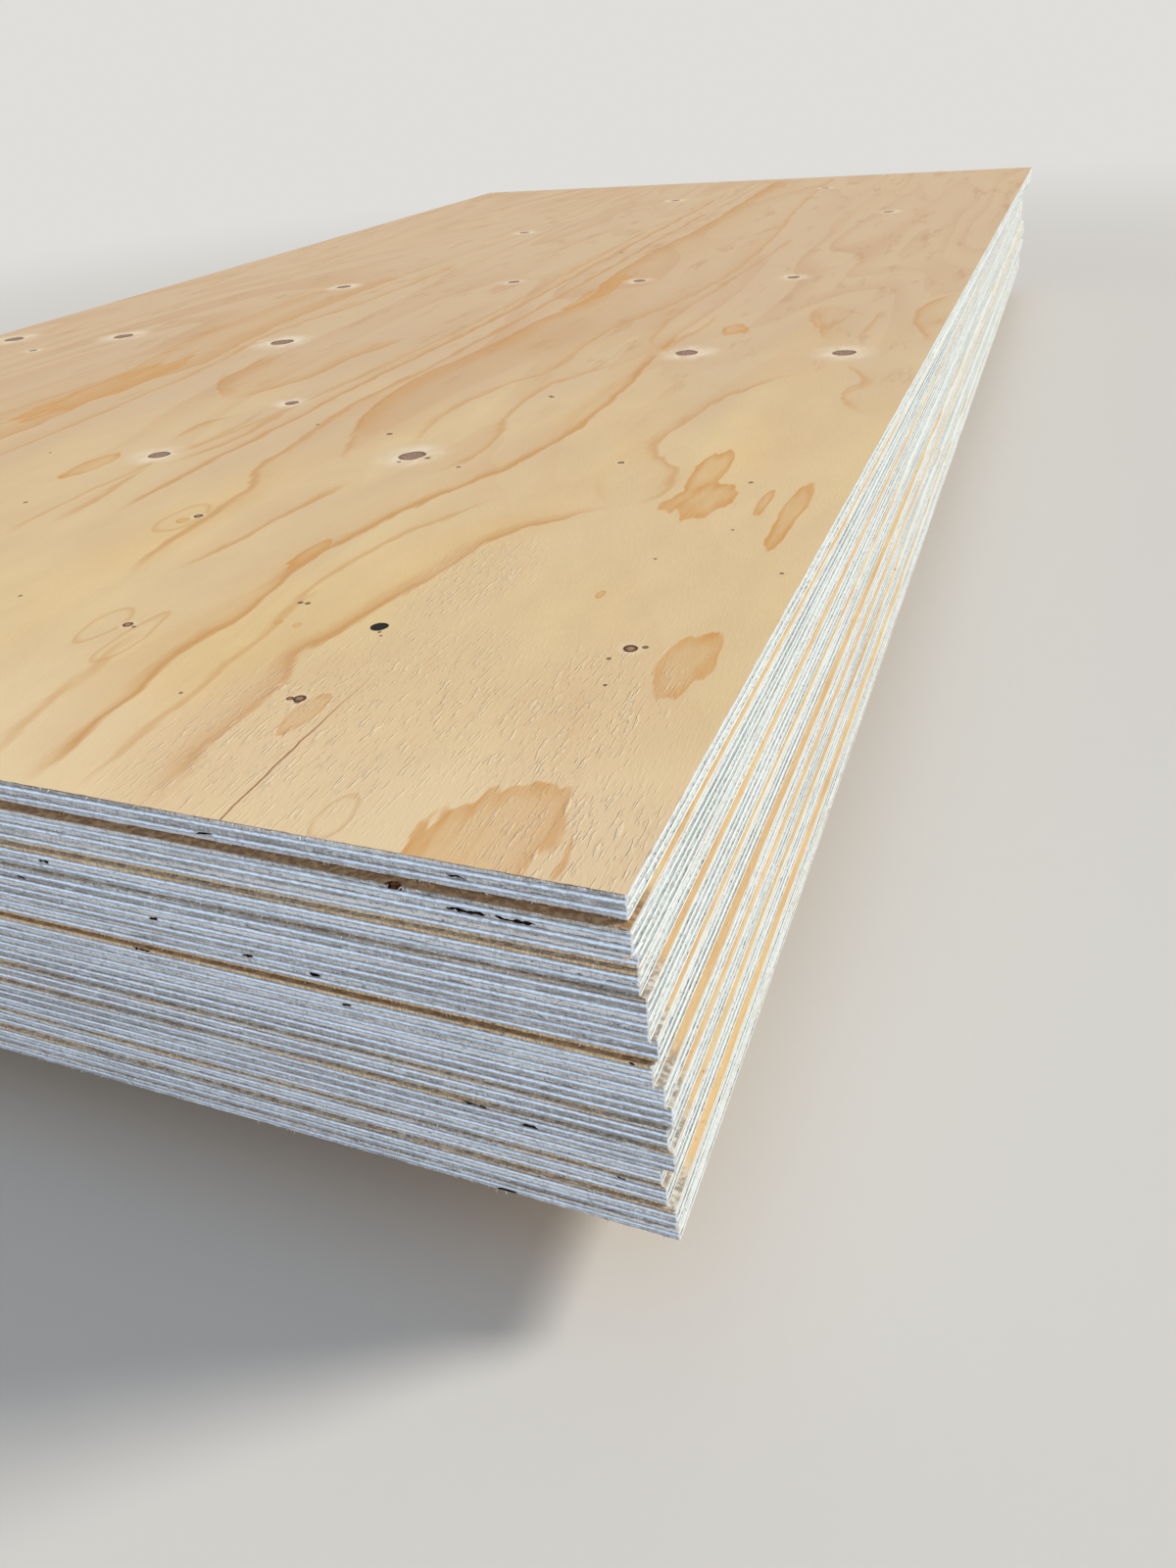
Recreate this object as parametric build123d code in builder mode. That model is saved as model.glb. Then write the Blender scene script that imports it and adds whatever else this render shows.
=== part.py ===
from build123d import *
import os
from math import atan2, degrees

os.makedirs("parts", exist_ok=True)

# The stack's frame: X to the right across the sheets, Y to the back along them, Z up.
# The origin is the middle of the timbers' underside.

# Five-ply sheets: trade size, and the veneers that make up the thickness
sheet_length = 2440.0
sheet_width = 1220.0
face_veneer = 2.1
crossband_veneer = 2.6
core_veneer = 2.6
sheet_thickness = 2 * face_veneer + 2 * crossband_veneer + core_veneer

# The thinner three-ply sheet under them
base_face_veneer = 2.2
base_core_veneer = 2.6
base_thickness = 2 * base_face_veneer + base_core_veneer

# Sawn timbers that hold the stack clear of the floor
bearer_length = 1000.0
bearer_width = 97.0
bearer_height = 47.0
bearer_end_distance = 300.0

# How the sheets lie, from the top one down: how far the front right corner is
# shifted to the right and to the front, and the turn in degrees seen from above.
sheet_lies = [
    (-8.5, -1.5, -0.35),
    (-5.5, 3.5, -0.3),
    (-6.0, -2.5, -0.12),
    (-5.5, -1.0, 0.0),
    (-2.5, 0.0, 0.06),
    (-3.0, -1.0, 0.0),
    (0.0, -2.5, 0.06),
    (-2.0, 0.0, 0.0),
    (2.5, -0.5, 0.0),
    (5.0, -1.5, 0.0),
    (3.0, 0.0, 0.0),
    (6.0, 1.5, 0.0),
    (-1.0, 0.5, 0.0),
    (1.5, 1.5, 0.0),
    (6.0, 3.0, 0.06),
]
base_lie = (7.0, 3.5, 0.06)

# Each veneer of a five-ply sheet: its height above the sheet's underside, and its thickness
lower_crossband = (face_veneer, crossband_veneer)
core = (face_veneer + crossband_veneer, core_veneer)
upper_crossband = (core[0] + core_veneer, crossband_veneer)
face = (sheet_thickness - face_veneer, face_veneer)

# Open joints between veneer strips along the front edge, by sheet from the top down:
# distance of the middle from the sheet's right corner, width, depth, and the veneer
open_joints = {
    1: [(70.0, 8.0, 22.0, core)],
    2: [(47.0, 18.0, 34.0, core), (68.0, 18.0, 26.0, core)],
    4: [(294.0, 6.0, 20.0, core)],
    5: [(315.0, 5.0, 18.0, core)],
    7: [(160.0, 6.0, 24.0, core)],
    8: [(9.0, 3.0, 10.0, face), (143.0, 5.0, 20.0, core), (255.0, 10.0, 16.0, face)],
    12: [(67.0, 8.0, 22.0, core), (93.0, 13.0, 18.0, face)],
    14: [(21.0, 5.0, 12.0, face)],
}

# Knots that fell out where the saw cut through them, listed in the same way
knot_holes = {
    1: [(190.0, 9.0, 5.0, lower_crossband)],
    6: [(240.0, 5.0, 4.0, upper_crossband)],
    7: [(195.0, 6.0, 4.0, upper_crossband)],
}

# The break in the base sheet's lower front edge
break_distance = 84.0
break_width = 11.0
break_depth = 9.0

# An open joint narrows, and a break too, by this share of its width on each side
side_taper = 1 / 3


def lie_plane(lie, height):
    """Plane at a sheet's underside, with its origin at the front right corner."""
    shift_right, shift_forward, turn = lie
    corner = (sheet_width / 2 + shift_right, -sheet_length / 2 - shift_forward, height)
    return Plane(origin=corner).rotated((0, 0, turn))


def draw_sheet():
    """Outline of a sheet, drawn to the left and to the back of its corner."""
    Rectangle(sheet_width, sheet_length, align=(Align.MAX, Align.MIN))


def draw_open_joint(distance, width, depth):
    """Outline of a wedge that is widest at the front edge and narrows inwards."""
    side_angle = degrees(atan2(depth, width * side_taper))
    with Locations((-distance, 0)):
        Trapezoid(width, depth, side_angle, align=(Align.CENTER, Align.MIN))


def draw_knot_hole(distance, width, depth):
    """Outline of a half-round hollow at the front edge."""
    with Locations((-distance, 0)):
        Ellipse(width / 2, depth)


# Timbers, crosswise under the stack: one near each end and one in the middle
bearer_offset = sheet_length / 2 - bearer_end_distance
bearer_places = {
    "bearer_front": -bearer_offset,
    "bearer_middle": 0.0,
    "bearer_back": bearer_offset,
}

for name, place in bearer_places.items():
    with BuildPart() as bearer:
        with BuildSketch(Plane(origin=(0, place, 0))):
            Rectangle(bearer_length, bearer_width)
        extrude(amount=bearer_height)
    bearer.part.label = name
    export_step(bearer.part, f"parts/{name}.step")

# Base sheet, on the timbers
base_plane = lie_plane(base_lie, bearer_height)

with BuildPart() as base_sheet:
    with BuildSketch(base_plane):
        draw_sheet()
    extrude(amount=base_thickness)
    with BuildSketch(base_plane):
        draw_open_joint(break_distance, break_width, break_depth)
    extrude(amount=base_face_veneer, mode=Mode.SUBTRACT)

base_sheet.part.label = "base_sheet"
export_step(base_sheet.part, "parts/base_sheet.step")

# Five-ply sheets, face to face on the base sheet, numbered from the top down
for number, lie in enumerate(sheet_lies, start=1):
    sheets_below = len(sheet_lies) - number
    underside = bearer_height + base_thickness + sheets_below * sheet_thickness
    sheet_plane = lie_plane(lie, underside)

    with BuildPart() as sheet:
        with BuildSketch(sheet_plane):
            draw_sheet()
        extrude(amount=sheet_thickness)
        for distance, width, depth, (level, veneer) in open_joints.get(number, []):
            with BuildSketch(sheet_plane.offset(level)):
                draw_open_joint(distance, width, depth)
            extrude(amount=veneer, mode=Mode.SUBTRACT)
        for distance, width, depth, (level, veneer) in knot_holes.get(number, []):
            with BuildSketch(sheet_plane.offset(level)):
                draw_knot_hole(distance, width, depth)
            extrude(amount=veneer, mode=Mode.SUBTRACT)

    sheet.part.label = f"sheet_{number:02d}"
    export_step(sheet.part, f"parts/{sheet.part.label}.step")
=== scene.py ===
from math import cos, pi, radians, sin

import bmesh
import bpy
import numpy as np
from mathutils import Matrix, Vector


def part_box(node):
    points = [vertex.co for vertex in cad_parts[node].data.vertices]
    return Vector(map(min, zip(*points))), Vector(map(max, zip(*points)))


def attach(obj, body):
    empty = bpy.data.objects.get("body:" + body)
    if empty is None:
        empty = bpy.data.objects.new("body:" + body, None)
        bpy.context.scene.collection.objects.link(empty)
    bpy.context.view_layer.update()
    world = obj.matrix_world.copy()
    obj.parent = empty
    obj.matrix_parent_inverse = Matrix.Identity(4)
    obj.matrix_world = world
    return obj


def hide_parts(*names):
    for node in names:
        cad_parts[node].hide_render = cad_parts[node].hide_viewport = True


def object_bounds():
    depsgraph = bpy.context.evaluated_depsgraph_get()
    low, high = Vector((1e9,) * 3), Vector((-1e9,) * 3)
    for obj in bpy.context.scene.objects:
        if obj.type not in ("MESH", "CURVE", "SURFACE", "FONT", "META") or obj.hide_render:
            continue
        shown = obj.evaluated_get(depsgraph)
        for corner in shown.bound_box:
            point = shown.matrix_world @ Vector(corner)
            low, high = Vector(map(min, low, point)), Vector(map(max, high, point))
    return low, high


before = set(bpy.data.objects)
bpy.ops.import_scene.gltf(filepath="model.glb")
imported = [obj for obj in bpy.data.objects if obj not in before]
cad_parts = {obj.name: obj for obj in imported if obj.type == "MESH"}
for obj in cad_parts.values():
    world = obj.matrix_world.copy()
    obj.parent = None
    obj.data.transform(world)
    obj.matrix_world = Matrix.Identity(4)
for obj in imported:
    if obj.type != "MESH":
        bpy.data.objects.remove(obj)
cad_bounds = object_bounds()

bl_info = {
    "name": "Plywood Sheet Stack",
    "version": (1, 0, 0),
    "blender": (4, 5, 0),
    "location": "View3D > Sidebar > Plywood",
    "description": "Dresses a stack of plywood sheets on timber bearers with plies, veneer figure "
                   "and sealed edges",
    "category": "Object",
}

MM = 0.001
SHEETS = sorted(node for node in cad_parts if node.startswith("sheet_"))
BASE = "base_sheet"
BEARERS = sorted(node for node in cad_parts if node.startswith("bearer_"))

# The order of a sheet's sides round its edge, from the front right corner to the left
FRONT, LEFT, BACK, RIGHT = range(4)

# Material slots of a sheet
FACE, END_CUT, END_LONG, SIDE_CUT, SIDE_LONG, HOLLOW = range(6)

# An edge face that lies deeper than this is the wall of a hollow
HOLLOW_FROM = 1.6 * MM

# The lip of a hollow, and how far the right side's sealer wraps onto the front
LIP = 0.15 * MM
WRAPPED_LENGTH = 2.6 * MM

TYPICAL_PLY_MM = 2.4

# Added to the distance along a sheet's edge for each side, so that no two sides are alike
SIDE_APART = 3.0

# A wave texture of scale 1 repeats at this distance
WAVE_LENGTH = pi / 10

# How high the fibres of an unsanded veneer stand
VENEER_RELIEF = 0.45 * MM

# Shares of the bake map's height: the upper face, the lower face, each side's strip, and the gaps
MAP_UPPER, MAP_LOWER, MAP_STRIP, MAP_GAP = 0.5, 0.19, 0.064, 0.008

# The share of the sealer that is missing on the two veneers that meet at a joint, by the
# number of the sheet above the joint
UNCOATED_JOINTS = {1: 0.3, 2: 0.12, 3: 0.5, 4: 0.3, 7: 0.6, 10: 0.4, 11: 0.42, 13: 0.42, 14: 0.44}

# How dark the margin is that a sheet shows in front of the one above, as a share, by the
# sheet's number: partly wood darkened by light, partly painted shade under the sheet above.
# The other margins carry pale dust.
AGED_AND_SHADED_MARGINS = {2: 0.9, 3: 0.45, 8: 0.85}

# The sheets whose right margin the sealer didn't reach
CLEAN_RIGHT_MARGINS = (3, 5, 8, 10)

# How far the open joints gape, as a share, in the sheets whose joints have nearly closed
NEARLY_CLOSED = {1: 0.5}

# Shares of a veneer's height: what is left above and below an open joint's mouth beside it, the
# least that is left at it, and how much of the rest the ragged lips may take
SOUND_LIP, LEAST_LIP, LIP_SPREAD = 0.25, 0.06, 0.85

# Dust and painted shade on a margin are full up to this far from the stack's front, then fade
DUST_AND_SHADE_FULL, DUST_AND_SHADE_ENDS = 16 * MM, 36 * MM

# Chips in a sheet's upper front arris, by its number, in metres: start from the right corner,
# width, height and depth
ARRIS_CHIPS = {2: [(0.0955, 0.0075, 0.0012, 0.0022)]}


def linear(hex_colour):
    """Linear RGBA of an sRGB hex colour."""
    parts = [int(hex_colour[i:i + 2], 16) / 255 for i in (1, 3, 5)]
    rgb = (c / 12.92 if c <= 0.04045 else ((c + 0.055) / 1.055) ** 2.4 for c in parts)
    return (*rgb, 1.0)


# Settings

class PlySettings(bpy.types.PropertyGroup):
    """How the veneers of a sheet are built up, and how roughly its edges are sawn."""
    face_veneer: bpy.props.FloatProperty(
        name="Face veneer", description="Thickness of the outer veneers of a five-ply sheet",
        default=2.1 * MM, min=0.5 * MM, unit="LENGTH")
    crossband: bpy.props.FloatProperty(
        name="Crossband", description="Thickness of the veneers that lie across the sheet",
        default=2.6 * MM, min=0.5 * MM, unit="LENGTH")
    base_face_veneer: bpy.props.FloatProperty(
        name="Base face veneer",
        description="Thickness of the outer veneers of the three-ply base sheet",
        default=2.2 * MM, min=0.5 * MM, unit="LENGTH")
    glue_line_wander: bpy.props.FloatProperty(
        name="Glue line wander", description="How far a glue line strays up and down",
        default=0.22 * MM, min=0.0, unit="LENGTH")
    end_grain_tear: bpy.props.FloatProperty(
        name="End grain tear", description="How deep the saw tears veneers that it cuts across",
        default=0.5 * MM, min=0.0, unit="LENGTH")
    long_grain_tear: bpy.props.FloatProperty(
        name="Long grain tear", description="How deep the saw tears veneers that it cuts along",
        default=0.12 * MM, min=0.0, unit="LENGTH")
    arris_wear: bpy.props.FloatProperty(
        name="Arris wear",
        description="Size of the worn slope along a sheet's upper and lower edge",
        default=0.35 * MM, min=0.0, unit="LENGTH")
    base_chipping: bpy.props.FloatProperty(
        name="Base chipping",
        description="How high the chips along the base sheet's lower edge reach",
        default=1.1 * MM, min=0.0, unit="LENGTH")
    seed: bpy.props.IntProperty(
        name="Seed", description="Picks the random wander, tears and tones", default=7)


class TimberSettings(bpy.types.PropertyGroup):
    """How the bearers are sawn and worn."""
    arris: bpy.props.FloatProperty(
        name="Arris", description="Radius of a bearer's worn long edges",
        default=2.5 * MM, min=0.1 * MM, unit="LENGTH")
    saw_pitch: bpy.props.FloatProperty(
        name="Saw pitch", description="Distance between the saw's marks",
        default=6.0 * MM, min=1 * MM, unit="LENGTH")


class FibreSettings(bpy.types.PropertyGroup):
    """The broken wood fibres along the sawn arrises."""
    spacing: bpy.props.FloatProperty(
        name="Spacing", description="Distance between places where a fibre may stand",
        default=2.2 * MM, min=1 * MM, unit="LENGTH")
    share: bpy.props.FloatProperty(
        name="Share", description="Share of those places that hold a fibre",
        default=0.3, min=0.0, max=1.0, subtype="FACTOR")
    length: bpy.props.FloatProperty(
        name="Length", description="Longest fibre", default=2.6 * MM, min=0.2 * MM, unit="LENGTH")
    thickness: bpy.props.FloatProperty(
        name="Thickness", description="Thickness of a fibre at its root",
        default=0.26 * MM, min=0.05 * MM, unit="LENGTH")
    fringe_spacing: bpy.props.FloatProperty(
        name="Fringe spacing", description="Distance between fibres up a front right corner",
        default=0.8 * MM, min=0.2 * MM, unit="LENGTH")
    seed: bpy.props.IntProperty(name="Seed", description="Picks the places", default=11)


class ColourSettings(bpy.types.PropertyGroup):
    """The finishes' main colours."""
    earlywood: bpy.props.FloatVectorProperty(
        name="Earlywood", description="Pale wood between the growth rings",
        subtype="COLOR", size=4, default=linear("#E3CB9C"))
    latewood: bpy.props.FloatVectorProperty(
        name="Latewood", description="Tan wood at a growth ring",
        subtype="COLOR", size=4, default=linear("#CA985E"))
    resin_wood: bpy.props.FloatVectorProperty(
        name="Resin wood", description="Orange wood where the knife ran along one ring",
        subtype="COLOR", size=4, default=linear("#D09C5A"))
    # Pale blue-white: the white sealer darkened and tinted blue as painted cool shade of the front
    shaded_sealer_on_ends: bpy.props.FloatVectorProperty(
        name="Sealer on the ends", description="Edge sealer on the long grain of the short sides",
        subtype="COLOR", size=4, default=linear("#D9EAFB"))
    sealer_on_sides: bpy.props.FloatVectorProperty(
        name="Sealer on the sides", description="Edge sealer on the long grain of the long sides",
        subtype="COLOR", size=4, default=linear("#F7FDFE"))
    floor: bpy.props.FloatVectorProperty(
        name="Floor", description="Plain floor", subtype="COLOR", size=4, default=linear("#D2D0CC"))
    backdrop: bpy.props.FloatVectorProperty(
        name="Backdrop", description="Plain background", subtype="COLOR", size=4,
        default=linear("#DFDEDB"))


class StageSettings(bpy.types.PropertyGroup):
    """Where the camera stands and how bright the lamps are."""
    camera_place: bpy.props.FloatVectorProperty(
        name="Camera", description="Where the camera stands",
        subtype="TRANSLATION", size=3, default=(0.7198, -1.5126, 0.4869), unit="LENGTH")
    azimuth: bpy.props.FloatProperty(
        name="Azimuth", description="Turn of the camera to the left of the sheets' length",
        default=radians(23.77), unit="ROTATION")
    pitch: bpy.props.FloatProperty(
        name="Pitch", description="How far the camera looks down", default=radians(32.75),
        unit="ROTATION")
    roll: bpy.props.FloatProperty(
        name="Roll", description="How far the camera leans", default=radians(-5.13),
        unit="ROTATION")
    lens: bpy.props.FloatProperty(
        name="Lens", description="Focal length on a sensor 36 mm high", default=25.81,
        subtype="DISTANCE_CAMERA")
    key_strength: bpy.props.FloatProperty(
        name="Key strength", description="Strength of the even light from the far right",
        default=3.05, min=0.0)
    fill_power: bpy.props.FloatProperty(
        name="Fill power", description="Power of the softbox in front, in watts", default=67.0,
        min=0.0)
    sky: bpy.props.FloatProperty(
        name="Sky", description="Strength of the even light from all round", default=0.45, min=0.0)


# Nodes and materials

# The kinds of node used most, the soft step of a Map Range node, and a Mix node's colours
MATH, RANGE, MIX = "ShaderNodeMath", "ShaderNodeMapRange", "ShaderNodeMix"
VECTOR, ATTRIBUTE = "ShaderNodeVectorMath", "ShaderNodeAttribute"
SMOOTH = {"interpolation_type": "SMOOTHSTEP"}
AS_COLOUR = {"data_type": "RGBA", "output": 2}


def add(tree, kind, *inputs, output=0, **settings):
    """Adds a node with its settings and links, and returns one of its outputs. An input is a plain
    value or another node's output. Inputs come in the node's own order, or in a dictionary."""
    node = tree.nodes.new(kind)
    for key, value in settings.items():
        setattr(node, key, value)
    is_named = inputs and isinstance(inputs[0], dict)
    for key, value in inputs[0].items() if is_named else enumerate(inputs):
        if isinstance(value, bpy.types.NodeSocket):
            tree.links.new(value, node.inputs[key])
        else:
            node.inputs[key].default_value = value
    return node.outputs[output] if node.outputs else None


def grain_noise(tree, place, sizes, detail=2.0, roughness=0.5, distortion=0.0):
    """Noise whose blotches are about as large as sizes, in metres along X, Y and Z."""
    scaled = add(tree, VECTOR, place, tuple(1 / s for s in sizes), operation="MULTIPLY")
    return add(tree, "ShaderNodeTexNoise",
               {"Vector": scaled, "Scale": 1.0, "Detail": detail, "Roughness": roughness,
                "Distortion": distortion})


def noise_band(tree, place, sizes, start, end, low=0.0, high=1.0, **noise):
    """Grain noise, taken softly from start..end to low..high and held there."""
    return add(tree, RANGE, grain_noise(tree, place, sizes, **noise), start, end, low, high,
               **SMOOTH)


def tint(tree, colour, over, value, start, end, share=1.0):
    """A colour with another laid over it: none of that one where a value is at start, and a share
    of it from end on."""
    covered = add(tree, RANGE, value, start, end, 0.0, share, **SMOOTH)
    return add(tree, MIX, {0: covered, 6: colour, 7: over}, **AS_COLOUR)


def start_material(name, roughness, specular):
    """A new material with its place in metres, its tree and its shader."""
    material = bpy.data.materials.new(name)
    material.use_nodes = True
    tree = material.node_tree
    shader = tree.nodes["Principled BSDF"]
    shader.inputs["Roughness"].default_value = roughness
    shader.inputs["Specular IOR Level"].default_value = specular
    place = add(tree, "ShaderNodeTexCoord", output="Object")
    return material, tree, shader, place


def finish_material(tree, shader, colour, height, depth):
    """Joins the colour and the relief to the shader. Depth is the relief's height in metres."""
    tree.links.new(colour, shader.inputs["Base Color"])
    bump = add(tree, "ShaderNodeBump", {"Height": height, "Distance": depth, "Strength": 1.0})
    tree.links.new(bump, shader.inputs["Normal"])


# Half the size of a sheet. The places below are measured from its middle.
HALF_LENGTH_MM, HALF_WIDTH_MM = 1220, 610

# Growth rings that run along the top sheet, in millimetres: how far along the sheet and
# across it, then the width of the tan shade and the side that it fades to, and its strength.
GROWTH_RINGS = [
    ([(-1220, 317), (-1142, 308), (-1071, 300), (-1037, 304), (-975, 297), (-917, 302), (-833, 321),
      (-787, 337), (-725, 354), (-640, 362), (-562, 362), (-437, 350), (-300, 344)], 9, -1, 0.75),
    ([(-1220, 346), (-1142, 340), (-1058, 333), (-996, 327), (-954, 327), (-900, 337), (-860, 352),
      (-820, 372)], 5, -1, 0.45),
    ([(-1220, 384), (-1162, 379), (-1100, 375), (-1071, 367), (-1042, 375), (-1000, 383),
      (-954, 390), (-908, 396), (-879, 410), (-858, 429), (-836, 446), (-823, 468)], 13, -1, 0.75),
    ([(-820, 476), (-800, 481), (-770, 480), (-746, 473), (-725, 455), (-683, 440), (-625, 445),
      (-562, 456), (-512, 475), (-462, 508)], 9, -1, 0.5),
    ([(-993, 208), (-975, 219), (-933, 227), (-892, 229), (-850, 233), (-800, 236)], 8, -1, 0.6),
    ([(-1000, 192), (-975, 180), (-933, 173), (-870, 166), (-837, 162), (-775, 137), (-687, 125),
      (-625, 116), (-500, 119), (-250, 116), (0, 108), (300, 96), (700, 84)], 6, 1, 0.6),
    ([(-900, 91), (-687, 87), (-500, 84), (-250, 87), (0, 80), (400, 66), (900, 50)], 5, -1, 0.65),
    ([(-960, 40), (-800, 34), (-700, 52), (-562, 62), (-437, 66), (-200, 70), (0, 62),
      (500, 40)], 5, -1, 0.4),
    ([(-712, 176), (-650, 152), (-575, 136), (-500, 131), (-425, 137), (-344, 147), (-219, 147),
      (-156, 160), (-75, 156), (0, 140), (200, 126), (500, 132), (800, 118),
      (1200, 104)], 26, 1, 0.75),
    ([(-715, 246), (-675, 231), (-625, 225), (-531, 237), (-469, 258), (-375, 256), (-250, 262),
      (-187, 275), (-94, 291), (0, 300), (300, 292), (600, 262), (900, 236),
      (1200, 226)], 9, -1, 0.45),
    ([(-790, 280), (-770, 298), (-725, 306), (-683, 303), (-625, 288), (-519, 284), (-487, 294),
      (-425, 325)], 8, -1, 0.5),
    ([(-768, 214), (-742, 188), (-700, 174), (-660, 160)], 8, 1, 0.45),
    ([(-600, -30), (-560, -66), (-537, -86), (-475, -98), (-400, -112)], 22, 1, 0.7),
    ([(-600, -30), (-550, -6), (-487, 9), (-425, 6), (-362, 18), (-320, 22)], 16, -1, 0.65),
    ([(-980, -142), (-800, -132), (-600, -138), (-450, -150), (-300, -176), (-100, -160),
      (200, -170)], 8, -1, 0.5),
    ([(-900, -176), (-700, -178), (-560, -186), (-450, -170), (-300, -196),
      (100, -210)], 34, -1, 0.6),
    ([(-760, -268), (-600, -250), (-500, -243), (-420, -262), (-300, -282),
      (0, -290)], 30, 1, 0.45),
    ([(-330, 508), (-250, 477), (-181, 463), (-150, 470)], 12, 1, 0.4),
    ([(-600, 590), (-540, 556), (-500, 566), (-440, 540)], 7, 1, 0.35),
    ([(-345, 598), (-300, 588), (-250, 576), (-200, 571), (-150, 580), (-95, 602)], 9, 1, 0.55),
    ([(-340, 506), (-290, 487), (-250, 470), (-200, 461), (-160, 466)], 5, 1, 0.5),
    ([(-225, 530), (-195, 504), (-178, 484), (-160, 462)], 8, -1, 0.5),
    ([(-335, 527), (-260, 533), (-180, 534)], 3, 1, 0.4),
    ([(-600, 586), (-560, 562), (-520, 553), (-495, 566), (-460, 552), (-420, 534)], 4, 1, 0.45),
    ([(-735, 9), (-705, 1), (-672, 1), (-650, 11), (-632, 22)], 6, 1, 0.6),
    ([(-790, 22), (-730, 44), (-680, 45), (-620, 34)], 4, -1, 0.4),
    ([(-790, 50), (-740, 65), (-650, 62), (-600, 50)], 5, -1, 0.5),
    ([(-930, 56), (-850, 51), (-785, 32)], 5, -1, 0.5),
    ([(-832, 446), (-826, 462), (-816, 476), (-790, 484), (-750, 480)], 6, -1, 0.5),
    ([(-822, 448), (-800, 432), (-770, 425)], 4, 1, 0.4),
    ([(-1150, 268), (-1110, 262), (-1085, 256), (-1060, 262)], 3, 1, 0.4),
    ([(-1215, 284), (-1180, 276), (-1130, 266), (-1100, 263)], 3, -1, 0.4),
    ([(-420, 354), (-330, 347), (-280, 356), (-200, 350)], 4, 1, 0.4),
    ([(-380, 338), (-320, 318), (-250, 310), (-100, 312), (100, 318), (350, 322)], 4, -1, 0.35),
]

# Patches where the knife ran along one ring, in millimetres: centre across and along the
# sheet, half width and half length
RESIN_PATCHES = [
    (538, -1204, 29, 44), (568, -1040, 14, 36), (498, -748, 13, 52), (512, -808, 24, 36),
    (574, -824, 7, 60), (553, -803, 4, 26), (-18, -800, 11, 32), (-208, -560, 28, 130),
    (395, -285, 14, 26), (406, -1128, 6, 18), (158, -60, 14, 120), (290, -945, 6, 30),
    (331, -1040, 2.5, 3.5), (344, -1041, 2.5, 3), (498, -968, 2.5, 5), (270, -745, 3, 4),
    (156, -903, 4.5, 5),
]

# Growth rings that close round a knot, in the same form
RING_LOOPS = [(228, -1064, 11, 26), (256, -1076, 9, 34), (154, -900, 14, 27), (468, -1200, 8, 18)]

# Knots, in millimetres: place across and along the sheet, and diameter. The dead ones are
# grey-brown discs, the ringed ones small with a dark rim, and the pins are tiny.
DEAD_KNOTS = [
    (254, -741, 21), (374, -390, 22), (529, -387, 22), (-134, -348, 27), (-396, -317, 24),
    (-562, -335, 24), (25, -766, 18), (48, -601, 13), (187, 14, 16), (392, 20, 16), (-266, 6, 20),
    (0, 22, 16), (422, 619, 17), (-200, 515, 18), (-470, -397, 10), (-40, 905, 18),
    (240, 1010, 16),
]
RINGED_KNOTS = [
    (163, -893, 7), (395, -1116, 7), (390, -1117, 4), (242, -1061, 6), (537, -1029, 8),
    (428, -737, 5),
]
PIN_KNOTS = [
    (119, -667, 4), (203, -687, 6), (306, -763, 4), (534, -768, 4), (300, -562, 5), (297, -559, 4),
    (328, -1013, 4), (333, -1013, 4), (544, -1026, 4), (530, -1042, 3), (538, -1069, 2.5),
    (270, -745, 5), (396, -1119, 4), (248, -1063, 3), (251, -757, 4), (-88, -773, 3), (-3, -889, 4),
    (512, -912, 2.5), (590, -920, 3), (75, 258, 7), (545, -858, 2.5), (330, -1125, 2.5),
    (140, -1040, 3), (396, -1039, 2.5), (399, -1043, 2),
]

# The one hole that a loose knot left in the top sheet's face, in the same form
KNOT_HOLE = (392, -1033, 10)

# Stretches of torn grain, in millimetres: centre across and along, half width and half length
TORN_GRAIN = [(440, -1120, 60, 90), (388, -1150, 40, 80), (535, -1100, 40, 70), (415, -960, 30, 60),
              (570, -1190, 40, 40)]

# A fine drying split, in millimetres: how far along the sheet, and across it
DRYING_SPLIT = [(-1222, 422), (-1165, 420), (-1100, 419), (-1060, 418)]


def curve_across(tree, along, points):
    """How far across the sheet, in millimetres, a line given by points runs at each place along it.
    """
    curve = add(tree, "ShaderNodeFloatCurve", {"Factor": 1.0, "Value": along})
    spots = curve.node.mapping.curves[0].points
    while len(spots) < len(points):
        spots.new(0.5, 0.5)
    for spot, (y, x) in zip(spots, points):
        spot.location = ((y + HALF_LENGTH_MM) / (2 * HALF_LENGTH_MM),
                         (x + HALF_WIDTH_MM) / (2 * HALF_WIDTH_MM))
        spot.handle_type = "AUTO"
    curve.node.mapping.update()
    return add(tree, MATH, curve, 2.0 * HALF_WIDTH_MM, -HALF_WIDTH_MM, operation="MULTIPLY_ADD")


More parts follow.
